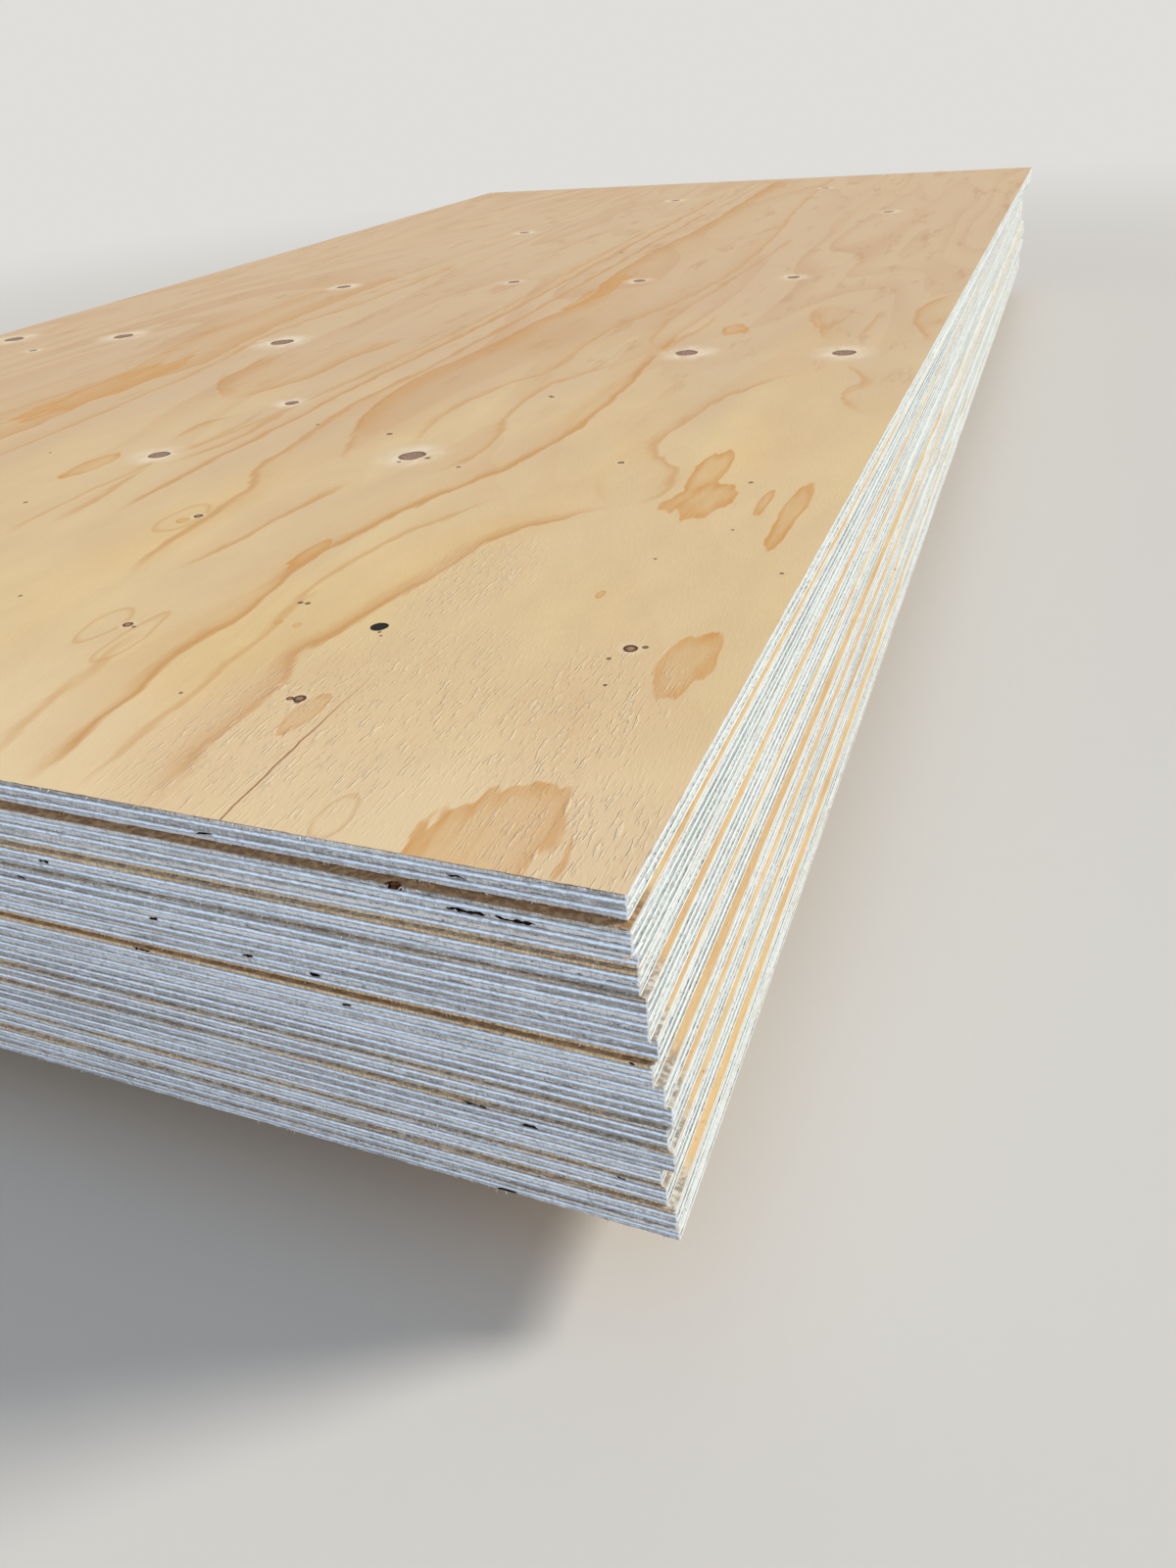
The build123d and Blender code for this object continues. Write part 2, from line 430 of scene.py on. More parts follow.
def growth_ring(tree, along, along_mm, across_mm, points, width, fades_to, strength):
    """One tan line with a crisp edge that fades to one side, and dies out at its ends. All in
    millimetres but for along, the share of the sheet's length."""
    line = curve_across(tree, along, points)
    sides = (across_mm, line) if fades_to > 0 else (line, across_mm)
    away = add(tree, MATH, *sides, operation="SUBTRACT")
    fade = add(tree, RANGE, away, 1.8 * width, 0.0, 0.0, 0.9 * strength, **SMOOTH)
    wide_fade = add(tree, RANGE, away, 4.5 * width, 0.0, 0.0, 0.35 * strength)
    core = add(tree, RANGE, away, 9.0, 1.5, 0.0, 1.2 * strength, **SMOOTH)
    crisp_edge = add(tree, RANGE, away, -3.0, 1.0, **SMOOTH)
    shade = add(tree, MATH, add(tree, MATH, fade, wide_fade, operation="MAXIMUM"), core,
                operation="MAXIMUM")
    shade = add(tree, MATH, shade, crisp_edge, operation="MULTIPLY")
    first, last = points[0][0], points[-1][0]
    beyond, fade_length = 4, 45
    begins = add(tree, RANGE, along_mm, first - beyond, first + fade_length, **SMOOTH)
    ends = add(tree, RANGE, along_mm, last + beyond, last - fade_length, **SMOOTH)
    return add(tree, MATH, add(tree, MATH, shade, begins, operation="MULTIPLY"), ends,
               operation="MULTIPLY")


def smallest(tree, values):
    """The smallest of several sockets."""
    found = values[0]
    for value in values[1:]:
        found = add(tree, MATH, found, value, operation="MINIMUM")
    return found


def nearest(tree, place_mm, spots):
    """Distance to the nearest of some round spots, where 1 is a spot's rim."""
    found = []
    for x, y, diameter in spots:
        away = add(tree, VECTOR, place_mm, (x, y, 0), operation="DISTANCE", output="Value")
        found.append(add(tree, MATH, away, diameter / 2, operation="DIVIDE"))
    return smallest(tree, found)


def nearest_oval(tree, place_mm, ovals):
    """Distance to the nearest of some ovals, where 1 is an oval's rim and 0 its centre."""
    found = []
    for x, y, half_width, half_length in ovals:
        shifted = add(tree, VECTOR, place_mm, (x, y, 0), operation="SUBTRACT")
        shared = add(tree, VECTOR, shifted, (1 / half_width, 1 / half_length, 0),
                     operation="MULTIPLY")
        found.append(add(tree, VECTOR, shared, operation="LENGTH", output="Value"))
    return smallest(tree, found)


def veneer_base(tree, place, colours, ring_share, lift_share):
    """The wood of any face veneer: drifting tone, faint rings, lifted fibres. Returns its colour
    and its height."""
    drift = grain_noise(tree, place, (0.16, 0.7, 0.1))
    colour = tint(tree, colours.earlywood, linear("#DEC498"), drift, 0.35, 0.65)
    warmth = grain_noise(tree, place, (0.11, 0.42, 0.1), detail=3.0, distortion=0.4)
    colour = tint(tree, colour, linear("#E3C48B"), warmth, 0.45, 0.75, 0.7)
    # Rings cut lengthwise: contour lines of a slow noise, crisp on one side
    level = grain_noise(tree, place, (0.21, 1.3, 0.012), detail=1.5, distortion=0.45)
    rings = add(tree, MATH, add(tree, MATH, level, 12.0, operation="MULTIPLY"), operation="FRACT")
    ring_shade = add(tree, MATH, add(tree, RANGE, rings, 0.3, 0.95, **SMOOTH),
                     add(tree, RANGE, rings, 1.0, 0.95, **SMOOTH), operation="MULTIPLY")
    patchy = noise_band(tree, place, (0.2, 0.5, 0.1), 0.35, 0.7, 0.12, 0.5, detail=1.0)
    ring_shade = add(tree, MATH, add(tree, MATH, ring_shade, patchy, operation="MULTIPLY"),
                     ring_share, operation="MULTIPLY")
    colour = add(tree, MIX, {0: ring_shade, 6: colour, 7: colours.latewood}, **AS_COLOUR)
    # Fibres of the unsanded veneer, drawn coarser than the real 0.1 mm so that they show
    fibres = grain_noise(tree, place, (0.0009, 0.008, 0.002), detail=3.0, roughness=0.6)
    clouds = grain_noise(tree, place, (0.03, 0.07, 0.03), detail=3.0, roughness=0.6)
    tone = add(tree, MATH, add(tree, RANGE, fibres, 0.3, 0.7, -0.03, 0.03),
               add(tree, RANGE, clouds, 0.3, 0.7, 0.96, 1.035), operation="ADD")
    toned = add(tree, VECTOR, {0: colour, "Scale": tone}, operation="SCALE")
    # The peeling knife lifts short dashes along the grain, more in some places than in others
    lifted = noise_band(tree, place, (0.0014, 0.008, 0.1), 0.54, 0.76)
    spread = noise_band(tree, place, (0.05, 0.11, 0.1), 0.42, 0.62, 0.1, 1.0, detail=3.0,
                        roughness=0.6)
    lifted = add(tree, MATH, add(tree, MATH, lifted, spread, operation="MULTIPLY"), lift_share,
                 operation="MULTIPLY")
    # The lifted dashes are painted paler: partly pale fibres, partly painted highlight
    toned = add(tree, MIX,
                {0: add(tree, MATH, lifted, 0.12, operation="MULTIPLY"), 6: toned,
                 7: linear("#F0DFBC")}, **AS_COLOUR)
    return toned, add(tree, MATH, fibres, 0.5, add(tree, MATH, lifted, 0.4, operation="MULTIPLY"),
                      operation="MULTIPLY_ADD")


def make_veneer(colours):
    """Rotary-cut softwood veneer, unsanded: matt, with a wild wavy figure along the sheet. The
    margin that shows in front of the sheet above carries pale dust on some sheets; on others it
    is dark brown, partly wood darkened by light and partly painted shade under the sheet above.
    The sealer of the right side creeps over the arris onto the margin there, further towards
    the far end."""
    material, tree, shader, place = start_material("rotary_cut_softwood_veneer",
                                                   roughness=0.65, specular=0.2)
    colour, height = veneer_base(tree, place, colours, 1.0, 1.0)
    tone, aged_and_shaded, oversprayed = [add(tree, ATTRIBUTE, attribute_name=name, output="Fac")
                               for name in ("ply_tone", "uncoated", "oversprayed")]
    colour = add(tree, MIX,
                 {0: add(tree, MATH, tone, 0.25, operation="MULTIPLY"), 6: colour,
                  7: linear("#E0B174")}, **AS_COLOUR)
    resin = noise_band(tree, place, (0.012, 0.09, 0.1), 0.5, 0.66, 0.0, 0.38, detail=4.0,
                       roughness=0.65)
    colour = add(tree, MIX, {0: resin, 6: colour, 7: linear("#CC9455")}, **AS_COLOUR)
    marks = noise_band(tree, place, (0.004, 0.012, 0.1), 0.64, 0.76, 0.0, 0.75, detail=3.0,
                       roughness=0.65)
    colour = add(tree, MIX, {0: marks, 6: colour, 7: linear("#8F5F38")}, **AS_COLOUR)
    axes = add(tree, "ShaderNodeSeparateXYZ", place).node.outputs
    dust = noise_band(tree, place, (0.004, 0.003, 0.1), 0.4, 0.62, detail=4.0, roughness=0.7)
    pale_dust = add(tree, MIX, {0: dust, 6: linear("#918A80"), 7: linear("#DAD5CB")}, **AS_COLOUR)
    # Dark brown margin: partly wood darkened by light, partly painted shade under the sheet above
    aged_wood_and_shade = add(tree, MIX, {0: dust, 6: linear("#7D5533"), 7: linear("#B08A5C")}, **AS_COLOUR)
    dust_and_shade = add(tree, MIX, {0: aged_and_shaded, 6: pale_dust, 7: aged_wood_and_shade}, **AS_COLOUR)
    way = add(tree, "ShaderNodeNewGeometry", output="True Normal")
    looks_up = add(tree, RANGE, add(tree, "ShaderNodeSeparateXYZ", way, output="Z"), 0.0, 0.5,
                   **SMOOTH)
    front_edge = cad_bounds[0][1]
    near_front = add(tree, RANGE, axes["Y"], front_edge + DUST_AND_SHADE_ENDS, front_edge + DUST_AND_SHADE_FULL, 0.0,
                     0.9, **SMOOTH)
    margin = add(tree, MATH, near_front, looks_up, operation="MULTIPLY")
    colour = add(tree, MIX, {0: margin, 6: colour, 7: dust_and_shade}, **AS_COLOUR)
    right_edge = add(tree, ATTRIBUTE, attribute_name="right_edge", output="Vector")
    corner = add(tree, "ShaderNodeSeparateXYZ", right_edge).node.outputs
    edge = add(tree, MATH, add(tree, MATH, axes["Y"], corner["Y"], operation="SUBTRACT"),
               corner["Z"], corner["X"], operation="MULTIPLY_ADD")
    reach = noise_band(tree, place, (0.004, 0.16, 0.1), 0.3, 0.7, 0.5 * MM, 1.5 * MM, detail=4.0,
                       roughness=0.6)
    reach = add(tree, MATH, reach, add(tree, RANGE, axes["Y"], -0.9, 0.3, 1.0, 4.0, **SMOOTH),
                operation="MULTIPLY")
    inward = add(tree, MATH, add(tree, MATH, edge, axes["X"], operation="SUBTRACT"), reach,
                 operation="SUBTRACT")
    spray = add(tree, MATH, add(tree, RANGE, inward, 0.5 * MM, -0.3 * MM, 0.0, 0.9, **SMOOTH),
                oversprayed, operation="MULTIPLY")
    colour = add(tree, MIX, {0: spray, 6: colour, 7: linear("#E6EDEB")}, **AS_COLOUR)
    finish_material(tree, shader, colour, height, VENEER_RELIEF)
    return material


def make_top_veneer(colours):
    """The top sheet's face: the same veneer with its own rings, knots, resin patches and torn
    grain."""
    material, tree, shader, place = start_material("rotary_cut_softwood_veneer_with_knots",
                                                   roughness=0.65, specular=0.2)
    place_mm = add(tree, VECTOR, place, (1000.0, 1000.0, 0.0), operation="MULTIPLY")
    axes = add(tree, "ShaderNodeSeparateXYZ", place_mm).node.outputs
    # The near part has its own rings only, and the knife tore the grain in some places
    region = add(tree, RANGE, nearest_oval(tree, place_mm, TORN_GRAIN), 1.5, 0.6, **SMOOTH)
    colour, height = veneer_base(tree, place, colours,
                                 add(tree, RANGE, axes["Y"], -900, -300, 0.2, 2.1, **SMOOTH),
                                 add(tree, MATH, region, 0.85, 0.15, operation="MULTIPLY_ADD"))
    sway = grain_noise(tree, place, (0.014, 0.06, 0.1), detail=3.0, roughness=0.55)
    sway = add(tree, RANGE, sway, 0.0, 1.0, -9.0, 9.0)
    across_mm = add(tree, MATH, axes["X"], sway, operation="ADD")
    along_mm = axes["Y"]
    along = add(tree, MATH, along_mm, 1 / (2 * HALF_LENGTH_MM), 0.5, operation="MULTIPLY_ADD")

    # Only the near right part is bright yellow, the rest is duller and pinker towards the far left
    dullness = add(tree, MATH, axes["X"], -0.7, axes["Y"], operation="MULTIPLY_ADD")
    drift = noise_band(tree, place, (0.12, 0.3, 0.1), 0.3, 0.7, -220, 220)
    dullness = add(tree, MATH, dullness, drift, operation="ADD")
    colour = tint(tree, colour, linear("#CFB496"), dullness, -1350, -450, 0.72)

    # The front end is paler, and brown smudges lie along the grain farther back
    colour = tint(tree, colour, linear("#E9D5B4"), along_mm, -1070, -1190, 0.5)
    smudges = noise_band(tree, place, (0.022, 0.11, 0.1), 0.55, 0.7, 0.0, 0.4, detail=4.0,
                         roughness=0.65)
    smudges = add(tree, MATH, smudges, add(tree, RANGE, along_mm, -800, -300, **SMOOTH),
                  operation="MULTIPLY")
    colour = add(tree, MIX, {0: smudges, 6: colour, 7: linear("#B98F66")}, **AS_COLOUR)

    shade = None
    for points, width, fades_to, strength in GROWTH_RINGS:
        ring = growth_ring(tree, along, along_mm, across_mm, points, width, fades_to, strength)
        shade = ring if shade is None else add(tree, MATH, shade, ring, operation="MAXIMUM")
    colour = add(tree, MIX, {0: shade, 6: colour, 7: colours.latewood}, **AS_COLOUR)

    # Resin patches: ovals with an uneven outline, darkest along their rim
    uneven = add(tree, RANGE, grain_noise(tree, place, (0.012, 0.05, 0.1), detail=2.5), 0.2, 0.8,
                 -0.45, 0.45)
    rim = add(tree, MATH, nearest_oval(tree, place_mm, RESIN_PATCHES), uneven, operation="ADD")
    streaks = noise_band(tree, place, (0.006, 0.05, 0.1), 0.35, 0.65, 0.65, 1.0, detail=3.0,
                         roughness=0.6)
    patch = add(tree, MATH, add(tree, RANGE, rim, 1.06, 0.96, **SMOOTH),
                add(tree, RANGE, rim, 0.4, 0.97, 0.5, 1.0, **SMOOTH), operation="MULTIPLY")
    colour = add(tree, MIX,
                 {0: add(tree, MATH, patch, streaks, operation="MULTIPLY"), 6: colour,
                  7: colours.resin_wood}, **AS_COLOUR)
    # Rings that close round a knot are thin loops
    uneven = add(tree, RANGE, grain_noise(tree, place, (0.03, 0.045, 0.1), detail=1.0), 0.2, 0.8,
                 -0.3, 0.3)
    rim = add(tree, MATH, nearest_oval(tree, place_mm, RING_LOOPS), uneven, operation="ADD")
    loop = add(tree, MATH, add(tree, RANGE, rim, 1.05, 0.95, **SMOOTH),
               add(tree, RANGE, rim, 0.66, 0.95, 0.0, 0.45, **SMOOTH), operation="MULTIPLY")
    colour = add(tree, MIX, {0: loop, 6: colour, 7: colours.latewood}, **AS_COLOUR)

    # Torn grain: pinkish ground with short pale strokes where the knife lifted the fibres. The
    # strokes are partly paler wood, partly painted highlight
    strokes = noise_band(tree, place, (0.0015, 0.012, 0.1), 0.56, 0.7)
    torn = add(tree, MATH, region, strokes, operation="MULTIPLY")
    colour = add(tree, MIX,
                 {0: add(tree, MATH, region, 0.3, operation="MULTIPLY"), 6: colour,
                  7: linear("#DABD9C")}, **AS_COLOUR)
    colour = add(tree, MIX,
                 {0: add(tree, MATH, torn, 0.36, operation="MULTIPLY"), 6: colour,
                  7: linear("#F2E4C6")}, **AS_COLOUR)
    # Darker furrows between the strokes: partly darker wood, partly painted shade in the furrows
    furrows = noise_band(tree, place, (0.0013, 0.016, 0.1), 0.46, 0.34, detail=3.0, roughness=0.6)
    furrows = add(tree, MATH, add(tree, MATH, region, furrows, operation="MULTIPLY"), 0.18,
                  operation="MULTIPLY")
    colour = add(tree, MIX, {0: furrows, 6: colour, 7: linear("#C0946A")}, **AS_COLOUR)
    height = add(tree, MATH, height, add(tree, MATH, torn, 0.8, operation="MULTIPLY"),
                 operation="ADD")

    # The split is a dark reddish hairline that closes away from the front edge
    split_wander = add(tree, RANGE, grain_noise(tree, place, (0.02, 0.02, 0.1)), 0.0, 1.0, -2.0,
                       2.0)
    split_line = curve_across(tree, along, DRYING_SPLIT)
    away = add(tree, MATH, add(tree, MATH, axes["X"], split_wander, operation="ADD"), split_line,
               operation="SUBTRACT")
    split = add(tree, RANGE, add(tree, MATH, away, operation="ABSOLUTE"), 0.8, 0.2, 0.0, 0.85,
                **SMOOTH)
    closes = add(tree, RANGE, along_mm, DRYING_SPLIT[-1][0], DRYING_SPLIT[1][0], **SMOOTH)
    colour = add(tree, MIX,
                 {0: add(tree, MATH, split, closes, operation="MULTIPLY"), 6: colour,
                  7: linear("#8A4F30")}, **AS_COLOUR)

    # Knots: the outline wanders a little, the wood round them is pale and lifted
    uneven = grain_noise(tree, place, (0.012, 0.014, 0.1))
    uneven = add(tree, RANGE, uneven, 0.2, 0.8, -0.16, 0.16)
    dead = add(tree, MATH, nearest(tree, place_mm, DEAD_KNOTS), uneven, operation="ADD")
    swirl = noise_band(tree, place, (0.013, 0.03, 0.1), 0.35, 0.65, 0.35, 1.0, distortion=0.6)
    halo = add(tree, MATH, add(tree, RANGE, dead, 3.6, 1.0, 0.0, 0.8, **SMOOTH), swirl,
               operation="MULTIPLY")
    colour = add(tree, MIX, {0: halo, 6: colour, 7: linear("#EEE2CB")}, **AS_COLOUR)
    speckle = grain_noise(tree, place, (0.002, 0.003, 0.1), detail=3.0)
    core = tint(tree, linear("#866857"), linear("#A08270"), speckle, 0.35, 0.65)
    core = tint(tree, core, linear("#5E4537"), dead, 0.72, 0.95, 0.55)
    colour = tint(tree, colour, core, dead, 1.06, 0.98)

    ringed = add(tree, MATH, nearest(tree, place_mm, RINGED_KNOTS), uneven, operation="ADD")
    colour = tint(tree, colour, linear("#E6D2AE"), ringed, 2.4, 1.1, 0.5)
    eye = tint(tree, linear("#A57E60"), linear("#4E3020"), ringed, 0.35, 0.75)
    colour = tint(tree, colour, eye, ringed, 1.1, 0.9)

    pins = nearest(tree, place_mm, PIN_KNOTS)
    colour = tint(tree, colour, linear("#5A4232"), pins, 1.1, 0.7, 0.85)
    hole = add(tree, MATH, nearest(tree, place_mm, [KNOT_HOLE]), uneven, operation="ADD")
    # The hole is painted near black: painted shade inside it, as the face there is flat but for a
    # bump
    colour = tint(tree, colour, linear("#120D0A"), hole, 1.05, 0.95)

    hollow = add(tree, MATH, add(tree, RANGE, hole, 1.0, 0.7, **SMOOTH), 8.0, operation="MULTIPLY")
    sunk = add(tree, MATH, add(tree, RANGE, dead, 1.0, 0.9, **SMOOTH), hollow, operation="ADD")
    height = add(tree, MATH, height, sunk, operation="SUBTRACT")
    finish_material(tree, shader, colour, height, VENEER_RELIEF)
    return material


def edge_marks(tree, place, raggedness):
    """What every sealed edge has: its ply's own tone, how much sealer it misses, how far the
    sealer of the next side wraps onto it, a distance to the nearest glue line in millimetres,
    more or less ragged, upright furrows left by the saw, and where the worn arris is bare."""
    tone, uncoated, wrapped, rise, arris = [
        add(tree, ATTRIBUTE, attribute_name=name, output="Fac")
        for name in ("ply_tone", "uncoated", "wrapped", "ply_rise", "arris")]
    from_middle = add(tree, MATH, add(tree, MATH, rise, 0.5, operation="SUBTRACT"),
                      operation="ABSOLUTE")
    to_glue = add(tree, MATH, add(tree, MATH, 0.5, from_middle, operation="SUBTRACT"),
                  TYPICAL_PLY_MM, operation="MULTIPLY")
    ragged = grain_noise(tree, place, (0.0024, 0.0024, 0.0024), detail=4.0, roughness=0.7)
    to_glue = add(tree, MATH, to_glue,
                  add(tree, MATH, ragged, raggedness, -raggedness / 2, operation="MULTIPLY_ADD"),
                  operation="ADD")
    furrows = grain_noise(tree, place, (0.0009, 0.0009, 0.008), detail=3.0, roughness=0.7)
    wrap_ragged = grain_noise(tree, place, (0.002, 0.002, 0.0016), detail=3.0, roughness=0.7)
    wrap = add(tree, RANGE,
               add(tree, MATH, wrapped, add(tree, MATH, wrap_ragged, 0.5, operation="SUBTRACT"),
                   operation="ADD"), 0.62, 0.78, **SMOOTH)
    rubbed = noise_band(tree, place, (0.05, 0.05, 0.02), 0.4, 0.6, 0.15, 1.0, detail=4.0,
                        roughness=0.6)
    arris = add(tree, MATH, add(tree, RANGE, arris, 0.2, 0.7, 0.0, 0.95, **SMOOTH), rubbed,
                operation="MULTIPLY")
    return tone, uncoated, wrap, to_glue, furrows, arris


def make_cut_grain(name, dark, pale, bare, speck, speck_share, speck_size, raggedness):
    """Sealed end grain: the sealer soaks in, so it is grey, matt and combed with fine furrows, with
    dark open pores and glue lines, and tan where the sealer is missing."""
    material, tree, shader, place = start_material(name, roughness=0.85, specular=0.2)
    tone, uncoated, wrap, to_glue, furrows, arris = edge_marks(tree, place, raggedness)
    blotches = grain_noise(tree, place, (0.009, 0.009, 0.0016), detail=3.0, roughness=0.65)
    sweeps = grain_noise(tree, place, (0.11, 0.11, 0.007))
    mix = add(tree, MATH, add(tree, MATH, furrows, 0.3, operation="MULTIPLY"),
              add(tree, MATH, blotches, 0.35, operation="MULTIPLY"), operation="ADD")
    mix = add(tree, MATH, mix, add(tree, MATH, sweeps, 0.35, operation="MULTIPLY"), operation="ADD")
    mix = add(tree, MATH, mix, add(tree, MATH, tone, 0.12, -0.06, operation="MULTIPLY_ADD"),
              operation="ADD")
    colour = tint(tree, linear(dark), linear(pale), mix, 0.4, 0.6)

    wear = grain_noise(tree, place, (0.07, 0.07, 0.003), detail=4.0, roughness=0.65)
    worn = add(tree, RANGE, add(tree, MATH, wear, uncoated, operation="ADD"), 0.82, 1.05, 0.0, 0.85,
               **SMOOTH)
    bare_wood = tint(tree, linear("#AE9068"), linear(bare), furrows, 0.38, 0.6)
    resin = noise_band(tree, place, (0.007, 0.007, 0.0035), 0.6, 0.68, roughness=0.6)
    bare_wood = add(tree, MIX,
                    {0: add(tree, MATH, resin, 0.7, operation="MULTIPLY"), 6: bare_wood,
                     7: linear("#B4763E")}, **AS_COLOUR)
    colour = add(tree, MIX, {0: worn, 6: colour, 7: bare_wood}, **AS_COLOUR)

    # Glue lines are dark hairlines that come and go
    come_and_go = noise_band(tree, place, (0.04, 0.04, 0.004), 0.38, 0.62, 0.15, 0.8, detail=3.0)
    glue = add(tree, MATH, add(tree, RANGE, to_glue, 0.34, 0.0, **SMOOTH), come_and_go,
               operation="MULTIPLY")
    colour = add(tree, MIX, {0: glue, 6: colour, 7: linear("#5D5B5A")}, **AS_COLOUR)
    pores = grain_noise(tree, place, speck_size, detail=3.0, roughness=0.65)
    open_places = noise_band(tree, place, (0.05, 0.05, 0.006), 0.35, 0.65, 0.3, 0.75)
    specks = add(tree, MATH, add(tree, RANGE, pores, speck_share, speck_share - 0.07, **SMOOTH),
                 open_places, operation="MULTIPLY")
    colour = add(tree, MIX, {0: specks, 6: colour, 7: linear(speck)}, **AS_COLOUR)
    flecks = add(tree, MATH, add(tree, RANGE, pores, 0.6, 0.68, 0.0, 0.45, **SMOOTH),
                 add(tree, MATH, 1.0, worn, operation="SUBTRACT"), operation="MULTIPLY")
    colour = add(tree, MIX, {0: flecks, 6: colour, 7: linear("#E4EAEE")}, **AS_COLOUR)
    colour = add(tree, MIX, {0: arris, 6: colour, 7: linear("#A5815F")}, **AS_COLOUR)
    colour = add(tree, MIX,
                 {0: add(tree, MATH, wrap, 0.85, operation="MULTIPLY"), 6: colour,
                  7: linear("#E6EAEB")}, **AS_COLOUR)
    height = add(tree, MATH, furrows,
                 add(tree, MATH, specks, add(tree, MATH, glue, 0.6, operation="MULTIPLY"),
                     operation="ADD"), operation="SUBTRACT")
    finish_material(tree, shader, colour, height, 0.5 * MM)
    return material


def make_long_grain(name, sealer, shade, border, raggedness):
    """Sealed long grain: the saw leaves it smooth, so the sealer covers it as a pale line with
    ragged borders."""
    material, tree, shader, place = start_material(name, roughness=0.6, specular=0.3)
    tone, uncoated, wrap, to_glue, furrows, arris = edge_marks(tree, place, raggedness)
    streaks = grain_noise(tree, place, (0.03, 0.03, 0.0007), detail=3.0, roughness=0.65)
    thin = add(tree, MATH, streaks, add(tree, MATH, tone, 0.2, -0.1, operation="MULTIPLY_ADD"),
               operation="ADD")
    colour = tint(tree, sealer, linear(shade), thin, 0.45, 0.7, 0.7)
    colour = tint(tree, colour, linear(border), to_glue, 0.95, 0.4, 0.9)
    nicks = noise_band(tree, place, (0.005, 0.005, 0.0011), 0.6, 0.68, 0.0, 0.6, detail=3.0,
                       roughness=0.65)
    colour = add(tree, MIX, {0: nicks, 6: colour, 7: linear("#7D6F60")}, **AS_COLOUR)
    wear = grain_noise(tree, place, (0.07, 0.07, 0.006), detail=3.0, roughness=0.6)
    worn = add(tree, RANGE, add(tree, MATH, wear, uncoated, operation="ADD"), 0.9, 1.15, 0.0, 0.9,
               **SMOOTH)
    colour = add(tree, MIX, {0: worn, 6: colour, 7: linear("#DDB880")}, **AS_COLOUR)
    colour = add(tree, MIX, {0: arris, 6: colour, 7: linear("#B88D68")}, **AS_COLOUR)
    colour = add(tree, MIX,
                 {0: add(tree, MATH, wrap, 0.85, operation="MULTIPLY"), 6: colour,
                  7: linear("#E6EAEB")}, **AS_COLOUR)
    height = add(tree, MATH, add(tree, MATH, furrows, 0.4, operation="MULTIPLY"), streaks,
                 operation="ADD")
    finish_material(tree, shader, colour, height, 0.25 * MM)
    return material


def make_hollow():
    """Raw wood inside an open joint, nearly black: partly glue stain, partly painted shade deep in
    the joint.
    """
    material, tree, shader, place = start_material("raw_wood_in_open_joint_with_painted_shade",
                                                   roughness=0.9, specular=0.1)
    grain = grain_noise(tree, place, (0.0016, 0.006, 0.001), detail=3.0, roughness=0.65)
    # Nearly black: painted shade deep in the joint, over glue-stained wood
    colour = tint(tree, linear("#1A100B"), linear("#5E3D2A"), grain, 0.42, 0.66)
    strands = noise_band(tree, place, (0.0012, 0.0012, 0.006), 0.5, 0.58, 0.0, 0.7, detail=3.0,
                         roughness=0.6)
    colour = add(tree, MIX, {0: strands, 6: colour, 7: linear("#6A472F")}, **AS_COLOUR)
    finish_material(tree, shader, colour, grain, 0.4 * MM)
    return material


def make_fibre_wood():
    """Broken fibres, half raw and half coated by the sealer."""
    material, tree, shader, place = start_material("broken_wood_fibre", roughness=0.8, specular=0.2)
    patches = grain_noise(tree, place, (0.006, 0.006, 0.004))
    colour = tint(tree, linear("#D8BE96"), linear("#F0F3F4"), patches, 0.42, 0.58)
    finish_material(tree, shader, colour, patches, 0.1 * MM)
    return material


def make_sawn_timber():
    """Rough-sawn softwood, greyed a little: straight grain along the timber, saw marks across."""
    material, tree, shader, place = start_material("rough_sawn_softwood",
                                                   roughness=0.82, specular=0.2)
    bands = grain_noise(tree, place, (0.5, 0.011, 0.009), detail=3.0, roughness=0.55,
                        distortion=0.3)
    fine = grain_noise(tree, place, (0.03, 0.0012, 0.0012), detail=3.0, roughness=0.6)
    colour = tint(tree, linear("#BC9B6E"), linear("#94714A"), bands, 0.4, 0.62)
    grey = noise_band(tree, place, (0.2, 0.05, 0.04), 0.4, 0.7, 0.1, 0.6, detail=3.0)
    colour = add(tree, MIX, {0: grey, 6: colour, 7: linear("#A2937E")}, **AS_COLOUR)
    colour = tint(tree, colour, linear("#6F5439"), fine, 0.5, 0.7, 0.3)
    # Saw marks stand across the timber, a few millimetres apart and slightly slanted
    scale = WAVE_LENGTH / bpy.context.scene.plywood_timber.saw_pitch
    marks = add(tree, "ShaderNodeTexWave",
                {"Vector": place, "Scale": scale, "Distortion": 1.5, "Detail": 2.0,
                 "Detail Scale": 3.0}, wave_type="BANDS", bands_direction="X", output="Fac")
    height = add(tree, MATH, add(tree, MATH, marks, 0.6, operation="MULTIPLY"), fine,
                 operation="ADD")
    finish_material(tree, shader, colour, height, 0.5 * MM)
    return material


def seen_directly(tree):
    """1 for the camera and for what it sees in gloss or through glass, 0 for the light itself."""
    rays = add(tree, "ShaderNodeLightPath").node.outputs
    seen = add(tree, MATH, rays["Is Camera Ray"], rays["Is Glossy Ray"], operation="ADD")
    return add(tree, MATH, seen, rays["Is Transmission Ray"], operation="ADD", use_clamp=True)


